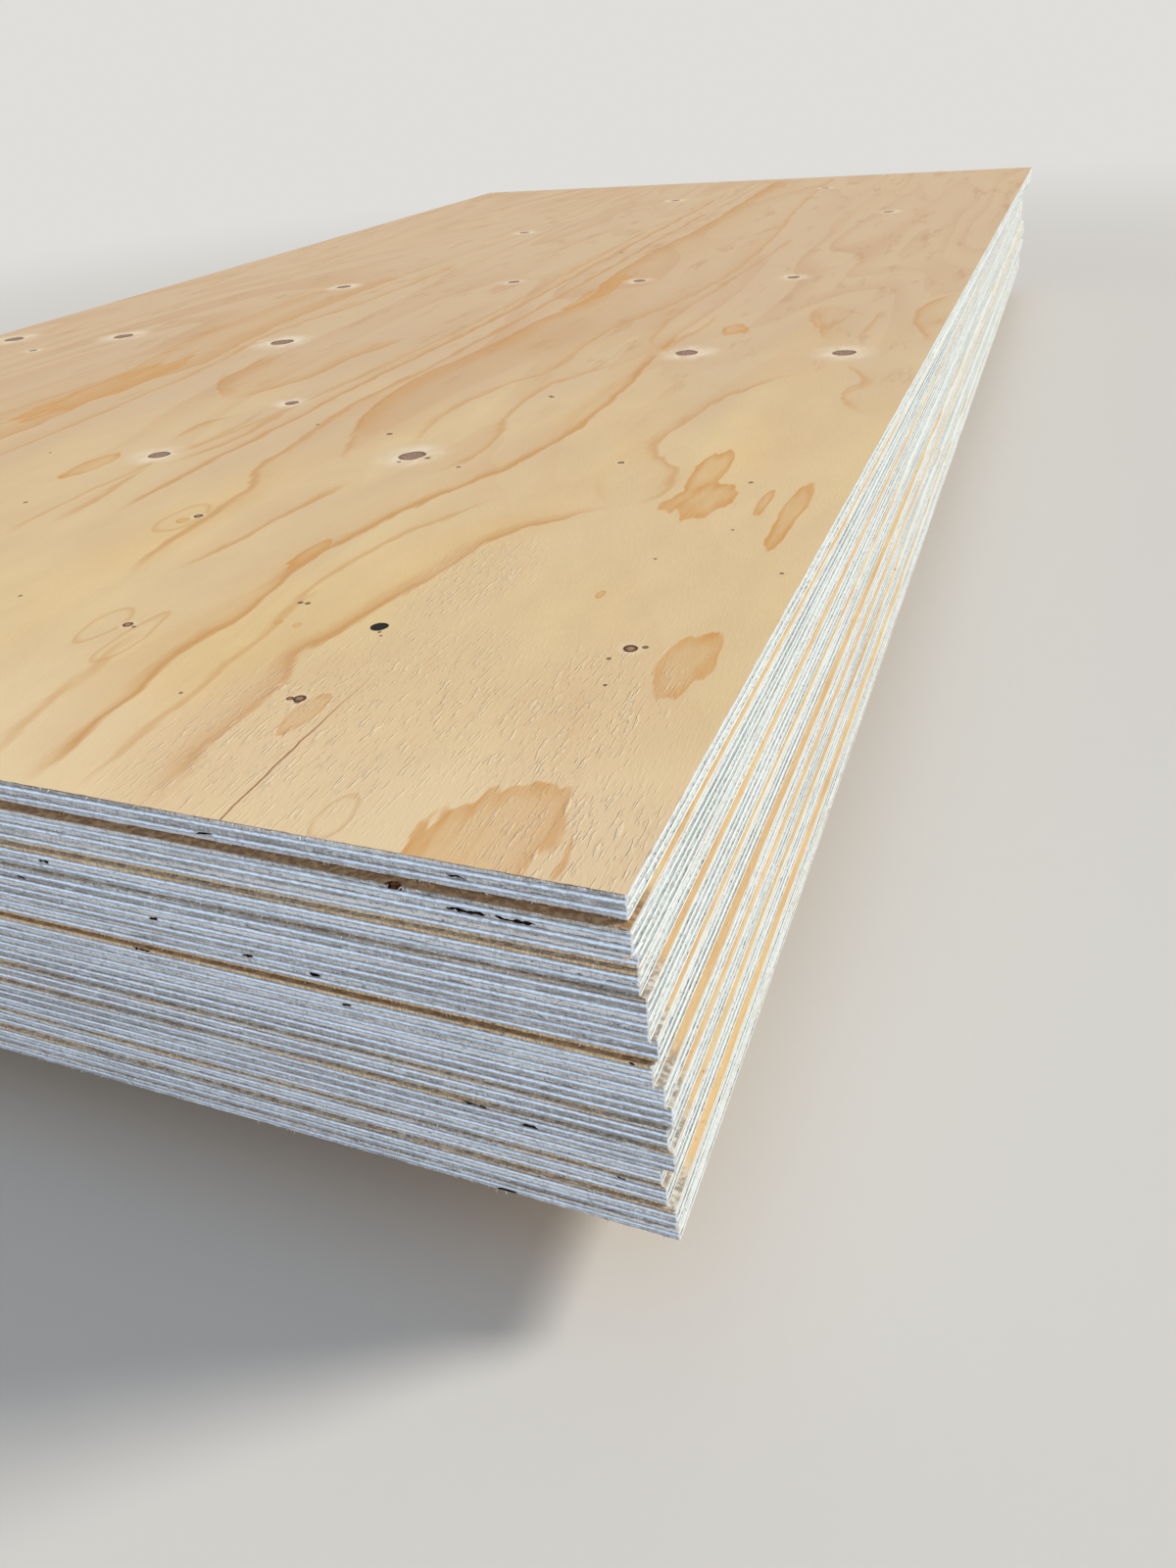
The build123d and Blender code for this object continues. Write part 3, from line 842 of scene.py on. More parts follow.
def make_floor_paint(colours):
    """Plain pale floor paint, matt. Far from the stack it fades into the backdrop."""
    material = bpy.data.materials.new("matt_floor_paint")
    material.use_nodes = True
    tree = material.node_tree
    paint = tree.nodes["Principled BSDF"]
    paint.inputs["Base Color"].default_value = colours.floor
    paint.inputs["Roughness"].default_value = 0.9
    paint.inputs["Specular IOR Level"].default_value = 0.15
    place = add(tree, "ShaderNodeTexCoord", output="Object")
    away = add(tree, VECTOR, place, operation="LENGTH", output="Value")
    fade = add(tree, MATH, add(tree, RANGE, away, 1.5, 4.2, **SMOOTH), seen_directly(tree),
               operation="MULTIPLY")
    backdrop = add(tree, "ShaderNodeEmission", {"Color": colours.backdrop, "Strength": 1.0})
    mixed = add(tree, "ShaderNodeMixShader", fade, paint.outputs[0], backdrop)
    tree.links.new(mixed, tree.nodes["Material Output"].inputs["Surface"])
    return material


def make_sky(colours, strength):
    """Even pale light from all round, in front of a plain backdrop."""
    world = bpy.data.worlds.new("sky")
    world.use_nodes = True
    tree = world.node_tree
    light = tree.nodes["Background"]
    light.inputs["Color"].default_value = linear("#F6FAFF")
    light.inputs["Strength"].default_value = strength
    backdrop = add(tree, "ShaderNodeBackground", {"Color": colours.backdrop, "Strength": 1.0})
    mixed = add(tree, "ShaderNodeMixShader", seen_directly(tree), light.outputs[0], backdrop)
    tree.links.new(mixed, tree.nodes["World Output"].inputs["Surface"])
    return world


# Shapes

def sheet_frame(node):
    """Where a packed sheet lies: front right corner, the two ways along its sides, its sizes."""
    points = np.array([v.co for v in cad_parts[node].data.vertices])
    x, y, z = points.T
    corner, left, back = (points[way.argmax()] for way in (x - y, -x - y, x + y))
    to_left, to_back = (left - corner)[:2], (back - corner)[:2]
    width, length = np.linalg.norm(to_left), np.linalg.norm(to_back)
    return {"corner": corner[:2], "to_left": to_left / width, "to_back": to_back / length,
            "width": width, "length": length, "low": z.min(), "high": z.max(), "points": points}


def front_hollows(place):
    """The hollows that a packed sheet has in its front edge: start and end from the right
    corner, lowest and highest level, and depth."""
    near = 0.05 * MM
    flat = place["points"][:, :2] - place["corner"]
    u, v, z = flat @ place["to_left"], flat @ place["to_back"], place["points"][:, 2]
    mouth = (v < near) & (u > near) & (u < place["width"] - near)
    levels = {}
    for spot, level in sorted(zip(u[mouth].round(6), z[mouth].round(6))):
        levels.setdefault(float(spot), set()).add(float(level))
    sides = {}
    for spot, found in levels.items():
        sides.setdefault((min(found), max(found)), []).append(spot)
    hollows = []
    for (low, high), spots in sides.items():
        for start, end in zip(spots[0::2], spots[1::2]):
            inside = (u > start - near) & (u < end + near) & (z > low - near) & (z < high + near)
            hollows.append((start, end, low, high, v[inside].max()))
    return hollows


def wander(rng, along, cell):
    """Smooth random numbers from -1 to 1 along a line, one for each cell."""
    knots = rng.uniform(-1, 1, int(along.max() / cell) + 3)
    at = along / cell
    whole = at.astype(int)
    part = at - whole
    part = part * part * (3 - 2 * part)
    return knots[whole] * (1 - part) + knots[whole + 1] * part


def side_stations(side, length, fine_spans):
    """Places along a side, from its own start, closer near the front right corner and at the
    hollows and chips."""
    near_step, far_step, finest = 2.4 * MM, 9.0 * MM, 0.8 * MM
    if side == BACK:
        return np.arange(0, length - far_step / 2, far_step)
    share = np.linspace(0, 1, int(2 * length / (near_step + far_step)))
    from_near = length * share * (near_step + (far_step - near_step) * share) / far_step
    from_near = from_near[from_near < length - near_step / 2]
    if side == RIGHT:
        return np.append(0, length - from_near[:0:-1])
    if side == LEFT:
        return from_near
    for start, end in fine_spans:
        from_near = from_near[(from_near < start - finest) | (from_near > end + finest)]
        inner = np.linspace(start, end, max(4, int((end - start) / finest)))
        from_near = np.concatenate([from_near, [start - LIP, end + LIP], inner])
    return np.sort(from_near)


def ply_levels(settings, thickness, is_base):
    """Heights of the glue lines and faces above a sheet's underside."""
    if is_base:
        skin = settings.base_face_veneer
        return [0, skin, thickness - skin, thickness]
    skin, cross = settings.face_veneer, settings.crossband
    return [0, skin, skin + cross, thickness - skin - cross, thickness - skin, thickness]


def outline(place, side, stations):
    """Points on the ground along a side, and the inward way."""
    corner, to_left, to_back = place["corner"], place["to_left"], place["to_back"]
    width, length = place["width"], place["length"]
    start, way, inward = {
        FRONT: (corner, to_left, to_back),
        LEFT: (corner + to_left * width, to_back, -to_left),
        BACK: (corner + to_left * width + to_back * length, -to_left, -to_back),
        RIGHT: (corner + to_back * length, -to_back, to_left),
    }[side]
    return start + stations[:, None] * way, np.broadcast_to(inward, (len(stations), 2))


def add_bake_map(mesh, place, along, side_of, row_rise):
    """A map in which the thin edges are stretched upwards, so that a bake holds their plies. The
    strips of the four sides lie one above the other, then the lower and the upper face."""
    lengths = np.array([place["width"], place["length"], place["width"], place["length"]])
    start = (along - SIDE_APART * side_of) / lengths[side_of]
    end = np.where(np.roll(side_of, -1) == side_of, np.roll(start, -1), 1.0)
    # A step or a hollow's wall takes a little room too
    climbs = np.maximum(np.diff(row_rise), 0.1)
    climb = np.append(0, np.cumsum(climbs)) / climbs.sum()
    foot = MAP_GAP + side_of * (MAP_STRIP + MAP_GAP)
    spots = [np.stack([end, foot + low * MAP_STRIP, start, foot + low * MAP_STRIP,
                       start, foot + high * MAP_STRIP, end, foot + high * MAP_STRIP],
                      axis=1).ravel()
             for low, high in zip(climb, climb[1:])]
    lower_foot = MAP_GAP + 4 * (MAP_STRIP + MAP_GAP)
    upper_foot = lower_foot + MAP_LOWER + MAP_GAP
    corners = np.array([mesh.vertices[i].co[:2]
                        for face in mesh.polygons[-2:] for i in face.vertices])
    across = (corners - place["corner"]) @ place["to_left"] / place["width"]
    up = (corners - place["corner"]) @ place["to_back"] / place["length"]
    half = len(corners) // 2
    across = np.append(upper_foot + across[:half] * MAP_UPPER,
                       lower_foot + across[half:] * MAP_LOWER)
    spots.append(np.stack([up, across], axis=1).ravel())
    mesh.uv_layers.new(name="OFBake").data.foreach_set("uv", np.concatenate(spots))


def sheet_columns(place, fine_spans):
    """One column of points stands at each station, all round the sheet. Returns their places on
    the ground, the inward ways, their sides, and how far along the edge they stand."""
    spots, inward, side_of, along = [], [], [], []
    for side in (FRONT, LEFT, BACK, RIGHT):
        length = place["length"] if side in (LEFT, RIGHT) else place["width"]
        stations = side_stations(side, length, fine_spans)
        ground, way = outline(place, side, stations)
        spots.append(ground)
        inward.append(way)
        side_of.append(np.full(len(stations), side))
        along.append(stations + side * SIDE_APART)
    starts = np.cumsum([0] + [len(s) for s in side_of])[:4]
    inward = np.concatenate(inward)
    for start in starts:  # a corner moves in along both of its sides
        inward[start] = inward[start] + inward[start - 1]
    return np.concatenate(spots), inward, np.concatenate(side_of), np.concatenate(along)


def joint_mouth(rng, along, on_front, hollows, gape):
    """A veneer's open joints, column by column: the shares of its height that are left below and
    above their ragged mouths, and their uneven depth."""
    below, above = np.full(len(along), SOUND_LIP), np.full(len(along), SOUND_LIP)
    deep = np.zeros(len(along))
    for start, end, *_, depth in hollows:
        held = on_front & (along > start - LIP / 2) & (along < end + LIP / 2)
        share = np.clip((along - start) / (end - start), 0, 1)
        taper = gape * np.clip(5 * np.minimum(share, 1 - share), 0, 1) ** 0.6
        shut = 1 - taper * np.clip(0.8 + 0.5 * wander(rng, along, 1.3 * MM), 0.25, 1)
        lean = 0.5 + 0.45 * wander(rng, along, 2.9 * MM)
        below = np.where(held, LEAST_LIP + LIP_SPREAD * shut * lean, below)
        above = np.where(held, LEAST_LIP + LIP_SPREAD * shut * (1 - lean), above)
        deep = np.where(held, depth * (0.6 + 0.4 * wander(rng, along, 2.3 * MM)), deep)
    return below, above, deep


def ply_rows(rng, number, settings, levels, hollows, is_base, side_of, along):
    """The rows of points up a sheet's edge: each row's height and how far it is set in, column
    by column, then its veneer, and its share of the way up that veneer."""
    plies, count = len(levels) - 1, len(along)
    on_front, on_ends = side_of == FRONT, (side_of == FRONT) | (side_of == BACK)

    def stray(coarse, fine, fine_share):
        """Random numbers from -1 to 1 round the edge, in long and in short waves."""
        return (1 - fine_share) * wander(rng, along, coarse) + fine_share * wander(rng, along, fine)

    heights = [levels[0] + np.zeros(count)]
    for level in levels[1:-1]:
        heights.append(level + settings.glue_line_wander * stray(0.09, 0.007, 0.4))
    heights.append(levels[-1] + np.zeros(count))
    broken = np.zeros(count)
    if is_base:
        bite = np.clip(stray(21 * MM, 3.5 * MM, 0.5) * 1.2 - 0.1, 0, 1)
        broken = np.where(on_front, bite, bite * 0.4) * settings.base_chipping

    rows, row_ply, row_rise = [], [], []
    for ply in range(plies):
        # The outer veneers and the core of a sheet lie along it, crossbands across it
        cut_across = on_ends == (ply % 2 == 0)
        tear = np.where(cut_across, settings.end_grain_tear, settings.long_grain_tear)
        low_tear = tear * (0.5 + 0.5 * stray(0.05, 3.1 * MM, 0.65))
        high_tear = tear * (0.5 + 0.5 * stray(0.05, 3.3 * MM, 0.65))
        low, high = heights[ply], heights[ply + 1]
        wear = settings.arris_wear * (1 + 0.7 * stray(9 * MM, 2.6 * MM, 0.6))
        if ply == 0:
            rows.append((low + broken, low_tear + wear + broken * 0.5))
            rows.append((low + broken + wear, low_tear))
            row_rise += [0.0, 0.15]
        else:
            rows.append((low, low_tear))
            row_rise.append(0.0)

        in_ply = [h for h in hollows if h[2] < (levels[ply] + levels[ply + 1]) / 2 < h[3]]
        if in_ply:
            gape, wall = NEARLY_CLOSED.get(number, 1.0), 0.02
            below, above, deep = joint_mouth(rng, along, on_front, in_ply, gape)
            lift = high - low
            rows += [(low + lift * below, low_tear), (low + lift * (below + wall), low_tear + deep),
                     (high - lift * (above + wall), high_tear + deep),
                     (high - lift * above, high_tear)]
            row_rise += [0.25, 0.27, 0.73, 0.75]

        if ply == plies - 1:
            chip = np.zeros(count)
            for start, width, height, depth in ARRIS_CHIPS.get(number, []):
                share = np.clip((along - start) / width, 0, 1)
                held = on_front & (along > start - LIP / 2) & (along < start + width + LIP / 2)
                chip = np.maximum(chip, held * np.sin(pi * share) ** 0.5)
                wear = wear + chip * height
                high_tear = high_tear + chip * depth
            rows.append((high - wear, high_tear))
            rows.append((high, high_tear + np.where(chip > 0.05, 0.4 * MM, wear)))
            row_rise += [0.85, 1.0]
        else:
            rows.append((high, high_tear))
            row_rise.append(1.0)
        row_ply += [ply] * (len(rows) - len(row_ply))
    return rows, row_ply, row_rise


def build_sheet(node, number, settings, materials):
    """A sheet with its plies: wandering glue lines, torn end grain, worn arrises, open joints."""
    rng = np.random.default_rng(settings.seed * 100 + number)
    place = sheet_frame(node)
    hollows = front_hollows(place)
    fine_spans = [hollow[:2] for hollow in hollows]
    fine_spans += [(start, start + width) for start, width, *_ in ARRIS_CHIPS.get(number, [])]
    is_base = node == BASE
    levels = np.array(ply_levels(settings, place["high"] - place["low"], is_base)) + place["low"]
    plies = len(levels) - 1
    spots, inward, side_of, along = sheet_columns(place, fine_spans)
    count = len(spots)
    on_front, on_ends = side_of == FRONT, (side_of == FRONT) | (side_of == BACK)
    rows, row_ply, row_rise = ply_rows(rng, number, settings, levels, hollows, is_base, side_of,
                                       along)

    points = np.empty((len(rows), count, 3))
    set_in = np.empty((len(rows), count))
    for row, (height, distance) in enumerate(rows):
        set_in[row] = np.maximum(distance, 0.02 * MM)
        points[row, :, :2] = spots + inward * set_in[row][:, None]
        points[row, :, 2] = height

    column = np.arange(count)
    after = (column + 1) % count
    wrapped = np.where(on_front, np.clip(1 - along / WRAPPED_LENGTH, 0, 1), 0)
    tone_of = rng.uniform(0, 1, (4, plies))
    missing = {0: UNCOATED_JOINTS.get(number, 0.0),
               plies - 1: UNCOATED_JOINTS.get(number - 1, 0.0)}
    faces, slots, tones, uncoated_and_margin_shade = [], [], [], []
    # How dark this sheet's margin is: wood darkened by light, and painted shade under the sheet
    # above
    aged_and_shaded = AGED_AND_SHADED_MARGINS.get(number, 0.0)
    for row in range(len(rows) - 1):
        ply = row_ply[row]
        is_step = row_ply[row + 1] != ply
        lower, upper = row * count, (row + 1) * count
        ring = [lower + after, lower + column, upper + column, upper + after]
        faces += np.stack(ring, axis=1).tolist()
        cut_across = (on_ends == (ply % 2 == 0)) | is_step
        slot = np.where(on_ends, np.where(cut_across, END_CUT, END_LONG),
                        np.where(cut_across, SIDE_CUT, SIDE_LONG))
        deepest = np.maximum(np.maximum(set_in[row], set_in[row][after]),
                             np.maximum(set_in[row + 1], set_in[row + 1][after]))
        slots += np.where(on_front & (deepest > HOLLOW_FROM), HOLLOW, slot).tolist()
        tones += tone_of[side_of, ply].tolist()
        uncoated_and_margin_shade += (missing.get(ply, 0.0) * np.where(on_ends, 1.0, 0.5)).tolist()
    last = (len(rows) - 1) * count
    faces += [list(range(last, last + count))[::-1], list(range(count))]
    slots += [FACE, FACE]
    tones += rng.uniform(0, 1, 2).tolist()
    uncoated_and_margin_shade += [aged_and_shaded, 0.0]
    sprayed = np.zeros(len(faces))
    sprayed[-2] = 0.3 if number in CLEAN_RIGHT_MARGINS else 1.0
    right_edge = (*place["corner"], place["to_back"][0] / place["to_back"][1])

    name = "plywood_" + node
    mesh = bpy.data.meshes.new(name)
    mesh.from_pydata(points.reshape(-1, 3).tolist(), [], faces)
    for material in materials:
        mesh.materials.append(material)
    mesh.polygons.foreach_set("material_index", slots)
    for attribute, domain, values in (
            ("ply_tone", "FACE", tones), ("uncoated", "FACE", uncoated_and_margin_shade),
            ("oversprayed", "FACE", sprayed), ("ply_rise", "POINT", np.repeat(row_rise, count)),
            ("wrapped", "POINT", np.tile(wrapped, len(rows))),
            ("arris", "POINT", np.repeat([1.0] + [0.0] * (len(rows) - 2) + [1.0], count))):
        mesh.attributes.new(attribute, "FLOAT", domain).data.foreach_set("value", values)
    edge_line = mesh.attributes.new("right_edge", "FLOAT_VECTOR", "FACE")
    edge_line.data.foreach_set("vector", right_edge * len(faces))
    mesh.update()
    add_bake_map(mesh, place, along, side_of, row_rise)
    sheet = bpy.data.objects.new(name, mesh)
    bpy.context.scene.collection.objects.link(sheet)
    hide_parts(node)
    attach(sheet, "root")
    return sheet


def build_bearer(node, settings, material):
    """A sawn timber with worn arrises, a little uneven along its length."""
    low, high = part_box(node)
    size = high - low
    arris, steps_along = settings.arris, 80
    unevenness, wave = 0.5 * MM, 60 * MM
    rng = np.random.default_rng(len(node))
    # The section runs round the timber, with three points at each worn arris
    half_y, half_z = size.y / 2, size.z / 2
    section = []
    for turn, (sign_y, sign_z) in enumerate(((1, -1), (1, 1), (-1, 1), (-1, -1))):
        for part in range(3):
            angle = (turn - 1) * pi / 2 + part * pi / 4
            section.append((sign_y * (half_y - arris) + arris * cos(angle),
                            sign_z * (half_z - arris) + arris * sin(angle)))
    centre = (low + high) / 2
    stations = np.linspace(low.x, high.x, steps_along)
    sink = [np.abs(wander(rng, stations - low.x, wave)) * unevenness for _ in section]
    bm = bmesh.new()
    rings = []
    for k, x in enumerate(stations):
        ring = []
        for n, (y, z) in enumerate(section):
            # The flat faces above and below stay level, only the sides and arrises are uneven
            ring.append(bm.verts.new((x, centre.y + y - np.sign(y) * sink[n][k], centre.z + z)))
        rings.append(ring)
    for first, second in zip(rings, rings[1:]):
        for n in range(len(section)):
            m = (n + 1) % len(section)
            bm.faces.new((first[n], second[n], second[m], first[m]))
    bm.faces.new(rings[0])
    bm.faces.new(rings[-1][::-1])
    bmesh.ops.recalc_face_normals(bm, faces=bm.faces)
    name = "timber_" + node
    mesh = bpy.data.meshes.new(name)
    bm.to_mesh(mesh)
    bm.free()
    mesh.materials.append(material)
    bearer = bpy.data.objects.new(name, mesh)
    bpy.context.scene.collection.objects.link(bearer)
    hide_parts(node)
    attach(bearer, "root")
    return bearer


def fibre_tree(material):
    """Geometry Nodes that stand broken fibres along the edges of a mesh. Returns the tree and the
    identifiers of its inputs."""
    tree = bpy.data.node_groups.new("broken_fibres", "GeometryNodeTree")
    tree.is_modifier = True
    names = {"Geometry": "NodeSocketGeometry", "Spacing": "NodeSocketFloat",
             "Share": "NodeSocketFloat", "Length": "NodeSocketFloat",
             "Thickness": "NodeSocketFloat", "Lean from": "NodeSocketVector",
             "Lean to": "NodeSocketVector", "Seed": "NodeSocketInt"}
    ids = {name: tree.interface.new_socket(name, in_out="INPUT", socket_type=kind).identifier
           for name, kind in names.items()}
    tree.interface.new_socket("Geometry", in_out="OUTPUT", socket_type="NodeSocketGeometry")
    given = add(tree, "NodeGroupInput").node.outputs
    seed = given["Seed"]
    curve = add(tree, "GeometryNodeMeshToCurve", given["Geometry"])
    spaced = add(tree, "GeometryNodeResampleCurve", {"Curve": curve, "Length": given["Spacing"]},
                 mode="LENGTH")
    chance = add(tree, "FunctionNodeRandomValue", {"Probability": given["Share"], "Seed": seed},
                 data_type="BOOLEAN", output=3)
    sliver = add(tree, "GeometryNodeMeshCone",
                 {"Vertices": 4, "Radius Top": 0.0, "Radius Bottom": given["Thickness"],
                  "Depth": given["Length"]}, output="Mesh")
    lean = add(tree, "FunctionNodeRandomValue",
               {0: given["Lean from"], 1: given["Lean to"], "Seed": seed}, data_type="FLOAT_VECTOR")
    scale = add(tree, "FunctionNodeRandomValue",
                {0: (0.4, 0.4, 0.25), 1: (1.0, 1.0, 1.0), "Seed": seed}, data_type="FLOAT_VECTOR")
    stood = add(tree, "GeometryNodeInstanceOnPoints",
                {"Points": spaced, "Selection": chance, "Instance": sliver, "Rotation": lean,
                 "Scale": scale})
    real = add(tree, "GeometryNodeRealizeInstances", stood)
    done = add(tree, "GeometryNodeSetMaterial", {"Geometry": real, "Material": material})
    add(tree, "NodeGroupOutput", done)
    return tree, ids


def stand_fibres(name, lines, inputs, tree, ids):
    """Fibres along some lines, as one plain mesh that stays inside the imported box."""
    corners = [corner for line in lines for corner in line]
    mesh = bpy.data.meshes.new(name)
    mesh.from_pydata(corners, [(i, i + 1) for i in range(0, len(corners), 2)], [])
    fibres = bpy.data.objects.new(name, mesh)
    bpy.context.scene.collection.objects.link(fibres)
    modifier = fibres.modifiers.new("fibres", "NODES")
    modifier.node_group = tree
    for key, value in inputs.items():
        modifier[ids[key]] = value
    depsgraph = bpy.context.evaluated_depsgraph_get()
    plain = bpy.data.meshes.new_from_object(fibres.evaluated_get(depsgraph))
    fibres.modifiers.clear()
    fibres.data = plain
    points = np.empty(len(plain.vertices) * 3, np.float32)
    plain.vertices.foreach_get("co", points)
    points = np.clip(points.reshape(-1, 3), *np.array(cad_bounds))
    plain.vertices.foreach_set("co", points.ravel())
    plain.update()
    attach(fibres, "root")


def build_fibres(settings, material):
    """Short fibres along the front and right arrises of every sheet, and a fringe of longer ones
    up its front right corner."""
    sunk, inset = 0.3 * MM, 1 * MM
    arrises, corners = [], []
    for node in SHEETS + [BASE]:
        place = sheet_frame(node)
        to_left, to_back = place["to_left"], place["to_back"]
        low, high = place["low"] + 0.4 * MM, place["high"] - 0.3 * MM
        for way, inward, length in ((to_left, to_back, place["width"]),
                                    (to_back, to_left, place["length"])):
            ends = [place["corner"] + inward * sunk + way * s for s in (inset, length - inset)]
            arrises += [[(*end, level) for end in ends] for level in (low, high)]
        foot = place["corner"] + (to_left + to_back) * sunk
        corners.append([(*foot, low), (*foot, high)])
    tree, ids = fibre_tree(material)
    inputs = {"Spacing": settings.spacing, "Share": settings.share, "Length": settings.length,
              "Thickness": settings.thickness, "Lean from": (0.6, -1.4, 0.0),
              "Lean to": (2.6, 1.4, 0.6), "Seed": settings.seed}
    stand_fibres("arris_fibres", arrises, inputs, tree, ids)
    inputs.update({"Spacing": settings.fringe_spacing, "Share": 0.8, "Lean from": (1.7, -1.9, 0.0),
                   "Lean to": (2.5, -0.6, 0.4)})
    stand_fibres("corner_fringe", corners, inputs, tree, ids)


def build_splinter(material):
    """A thin splinter that hangs from the second sheet's lower front right corner."""
    place = sheet_frame(SHEETS[1])
    root = Vector((*place["corner"], place["low"] + 1.6 * MM))
    curve = bpy.data.curves.new("splinter", "CURVE")
    curve.dimensions = "3D"
    curve.bevel_depth = 0.65 * MM
    curve.use_fill_caps = True
    spline = curve.splines.new("POLY")
    # The route in millimetres from the root, and the thickness there as a share of the bevel
    route = ((1.0, 6.0, 0.6), (0.3, 1.5, 0.3), (-0.8, -0.2, -1.0), (-2.6, -0.6, -3.0),
             (-5.0, -0.5, -5.4))
    thickness = (1.2, 1.2, 0.9, 0.6, 0.08)
    spline.points.add(len(route) - 1)
    for point, offset, radius in zip(spline.points, route, thickness):
        point.co = (*(root + Vector(offset) * MM), 1.0)
        point.radius = radius
    bent = bpy.data.objects.new("splinter_line", curve)
    bpy.context.scene.collection.objects.link(bent)
    depsgraph = bpy.context.evaluated_depsgraph_get()
    mesh = bpy.data.meshes.new_from_object(bent.evaluated_get(depsgraph))
    bpy.data.objects.remove(bent)
    mesh.materials.append(material)
    splinter = bpy.data.objects.new("splinter", mesh)
    bpy.context.scene.collection.objects.link(splinter)
    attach(splinter, "root")


# Operators, one for each group of pieces and one for the stage

class PLYWOOD_OT_sheets(bpy.types.Operator):
    """Build every sheet with its plies, faces and sealed edges"""
    bl_idname = "plywood.sheets"
    bl_label = "Plywood Sheets"

    def execute(self, context):
        colours = context.scene.plywood_colours
        veneer, top_veneer = make_veneer(colours), make_top_veneer(colours)
        edges = [
            # The ends' finishes are darker and bluer than the same finishes on the sides: partly
            # painted cool shade, as the front lies in shade
            make_cut_grain("sealed_end_grain_on_ends_in_painted_shade", dark="#8F8B86", pale="#CFD0CF",
                           bare="#D6BC92", speck="#4E4741", speck_share=0.39,
                           speck_size=(0.0026, 0.0026, 0.0009), raggedness=2.2),
            make_long_grain("sealed_long_grain_on_ends_in_painted_shade", colours.shaded_sealer_on_ends,
                            shade="#B4C5D5", border="#999A9B", raggedness=2.0),
            make_cut_grain("sealed_end_grain_on_sides", dark="#A9B3B3", pale="#E0E8E7",
                           bare="#E8C995", speck="#3A444C", speck_share=0.45,
                           speck_size=(0.0028, 0.0028, 0.0009), raggedness=0.9),
            make_long_grain("sealed_long_grain_on_sides", colours.sealer_on_sides,
                            shade="#DCE5E4", border="#C5CCCA", raggedness=0.9),
            make_hollow(),
        ]
        for number, node in enumerate(SHEETS + [BASE], start=1):
            face = top_veneer if number == 1 else veneer
            build_sheet(node, number, context.scene.plywood_plies, [face] + edges)
        return {"FINISHED"}


class PLYWOOD_OT_bearers(bpy.types.Operator):
    """Build the sawn timbers under the sheets"""
    bl_idname = "plywood.bearers"
    bl_label = "Timber Bearers"

    def execute(self, context):
        material = make_sawn_timber()
        for node in BEARERS:
            build_bearer(node, context.scene.plywood_timber, material)
        return {"FINISHED"}


class PLYWOOD_OT_fibres(bpy.types.Operator):
    """Stand broken wood fibres along the sawn arrises"""
    bl_idname = "plywood.fibres"
    bl_label = "Broken Fibres"

    def execute(self, context):
        material = make_fibre_wood()
        build_fibres(context.scene.plywood_fibres, material)
        build_splinter(material)
        return {"FINISHED"}


def softbox(name, place, target, width, height, colour, power):
    """A rectangular area lamp that faces a point."""
    lamp = bpy.data.lights.new(name, "AREA")
    lamp.shape = "RECTANGLE"
    lamp.size, lamp.size_y = width, height
    lamp.color = linear(colour)[:3]
    lamp.energy = power
    box = bpy.data.objects.new(name, lamp)
    box.location = place
    box.rotation_euler = (Vector(target) - Vector(place)).to_track_quat("-Z", "Y").to_euler()
    bpy.context.scene.collection.objects.link(box)


def sunlight(name, comes_from, spread, colour, strength):
    """Parallel light with soft shadows. Spread is in degrees."""
    lamp = bpy.data.lights.new(name, "SUN")
    lamp.angle = radians(spread)
    lamp.color = linear(colour)[:3]
    lamp.energy = strength
    source = bpy.data.objects.new(name, lamp)
    source.rotation_euler = (-Vector(comes_from)).to_track_quat("-Z", "Y").to_euler()
    bpy.context.scene.collection.objects.link(source)


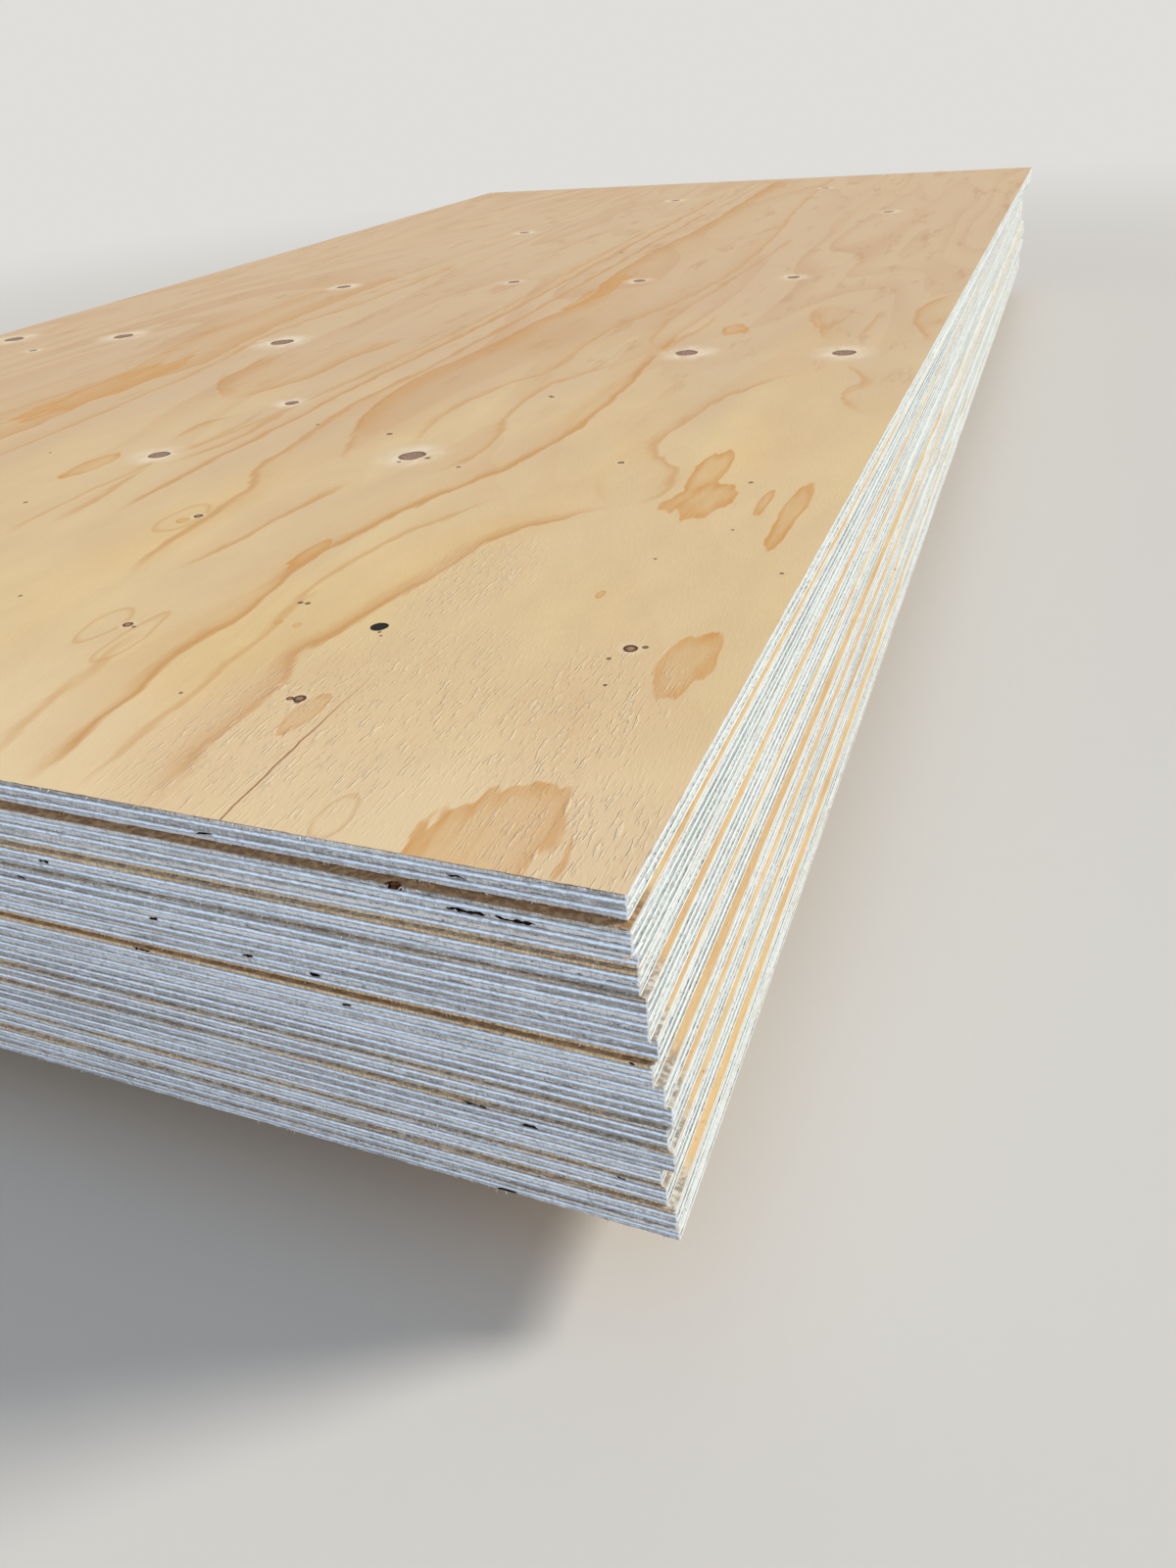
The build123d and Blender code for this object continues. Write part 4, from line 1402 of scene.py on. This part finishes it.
class PLYWOOD_OT_stage(bpy.types.Operator):
    """Set up the camera, the lights and a plain floor"""
    bl_idname = "plywood.stage"
    bl_label = "Stage"

    def execute(self, context):
        scene, stage = context.scene, context.scene.plywood_stage
        camera = bpy.data.cameras.new("camera")
        camera.sensor_width = 36.0
        camera.lens = stage.lens
        camera.clip_end = 100.0
        stand = bpy.data.objects.new("camera", camera)
        looks = (Matrix.Rotation(stage.azimuth, 4, "Z")
                 @ Matrix.Rotation(pi / 2 - stage.pitch, 4, "X"))
        stand.matrix_world = (Matrix.Translation(stage.camera_place) @ looks
                              @ Matrix.Rotation(stage.roll, 4, "Z"))
        scene.collection.objects.link(stand)
        scene.camera = stand

        floor_size = 60.0
        bm = bmesh.new()
        bmesh.ops.create_grid(bm, x_segments=1, y_segments=1, size=floor_size / 2)
        mesh = bpy.data.meshes.new("floor")
        bm.to_mesh(mesh)
        bm.free()
        mesh.materials.append(make_floor_paint(scene.plywood_colours))
        floor = bpy.data.objects.new("floor", mesh)
        scene.collection.objects.link(floor)

        sunlight("key", comes_from=(1.25, 0.85, 1.0), spread=14.0, colour="#FFFAF2",
                 strength=stage.key_strength)
        softbox("fill", place=(-0.1, -4.8, 0.5), target=(0.2, -1.2, 0.12), width=3.4, height=0.9,
                colour="#DFEBFF", power=stage.fill_power)
        scene.world = make_sky(scene.plywood_colours, stage.sky)
        scene.view_settings.view_transform = "Standard"
        return {"FINISHED"}


class PLYWOOD_PT_panel(bpy.types.Panel):
    """The stack's operators, in the 3D view's sidebar"""
    bl_idname = "PLYWOOD_PT_panel"
    bl_label = "Plywood Stack"
    bl_space_type = "VIEW_3D"
    bl_region_type = "UI"
    bl_category = "Plywood"

    def draw(self, context):
        for operator in OPERATORS:
            self.layout.operator(operator.bl_idname)


OPERATORS = (PLYWOOD_OT_stage, PLYWOOD_OT_sheets, PLYWOOD_OT_bearers, PLYWOOD_OT_fibres)
SETTINGS = {
    "plywood_plies": PlySettings,
    "plywood_timber": TimberSettings,
    "plywood_fibres": FibreSettings,
    "plywood_colours": ColourSettings,
    "plywood_stage": StageSettings,
}


def register():
    """Adds the settings, the operators and the panel to Blender."""
    for group in SETTINGS.values():
        bpy.utils.register_class(group)
    for name, group in SETTINGS.items():
        setattr(bpy.types.Scene, name, bpy.props.PointerProperty(type=group))
    for operator in OPERATORS:
        bpy.utils.register_class(operator)
    bpy.utils.register_class(PLYWOOD_PT_panel)


def unregister():
    """Takes the panel, the operators and the settings away again."""
    bpy.utils.unregister_class(PLYWOOD_PT_panel)
    for operator in reversed(OPERATORS):
        bpy.utils.unregister_class(operator)
    for name in SETTINGS:
        delattr(bpy.types.Scene, name)
    for group in reversed(SETTINGS.values()):
        bpy.utils.unregister_class(group)


def main():
    """Builds the stage and every piece."""
    register()
    bpy.ops.plywood.stage()
    bpy.ops.plywood.sheets()
    bpy.ops.plywood.bearers()
    bpy.ops.plywood.fibres()


if __name__ == "__main__":
    main()
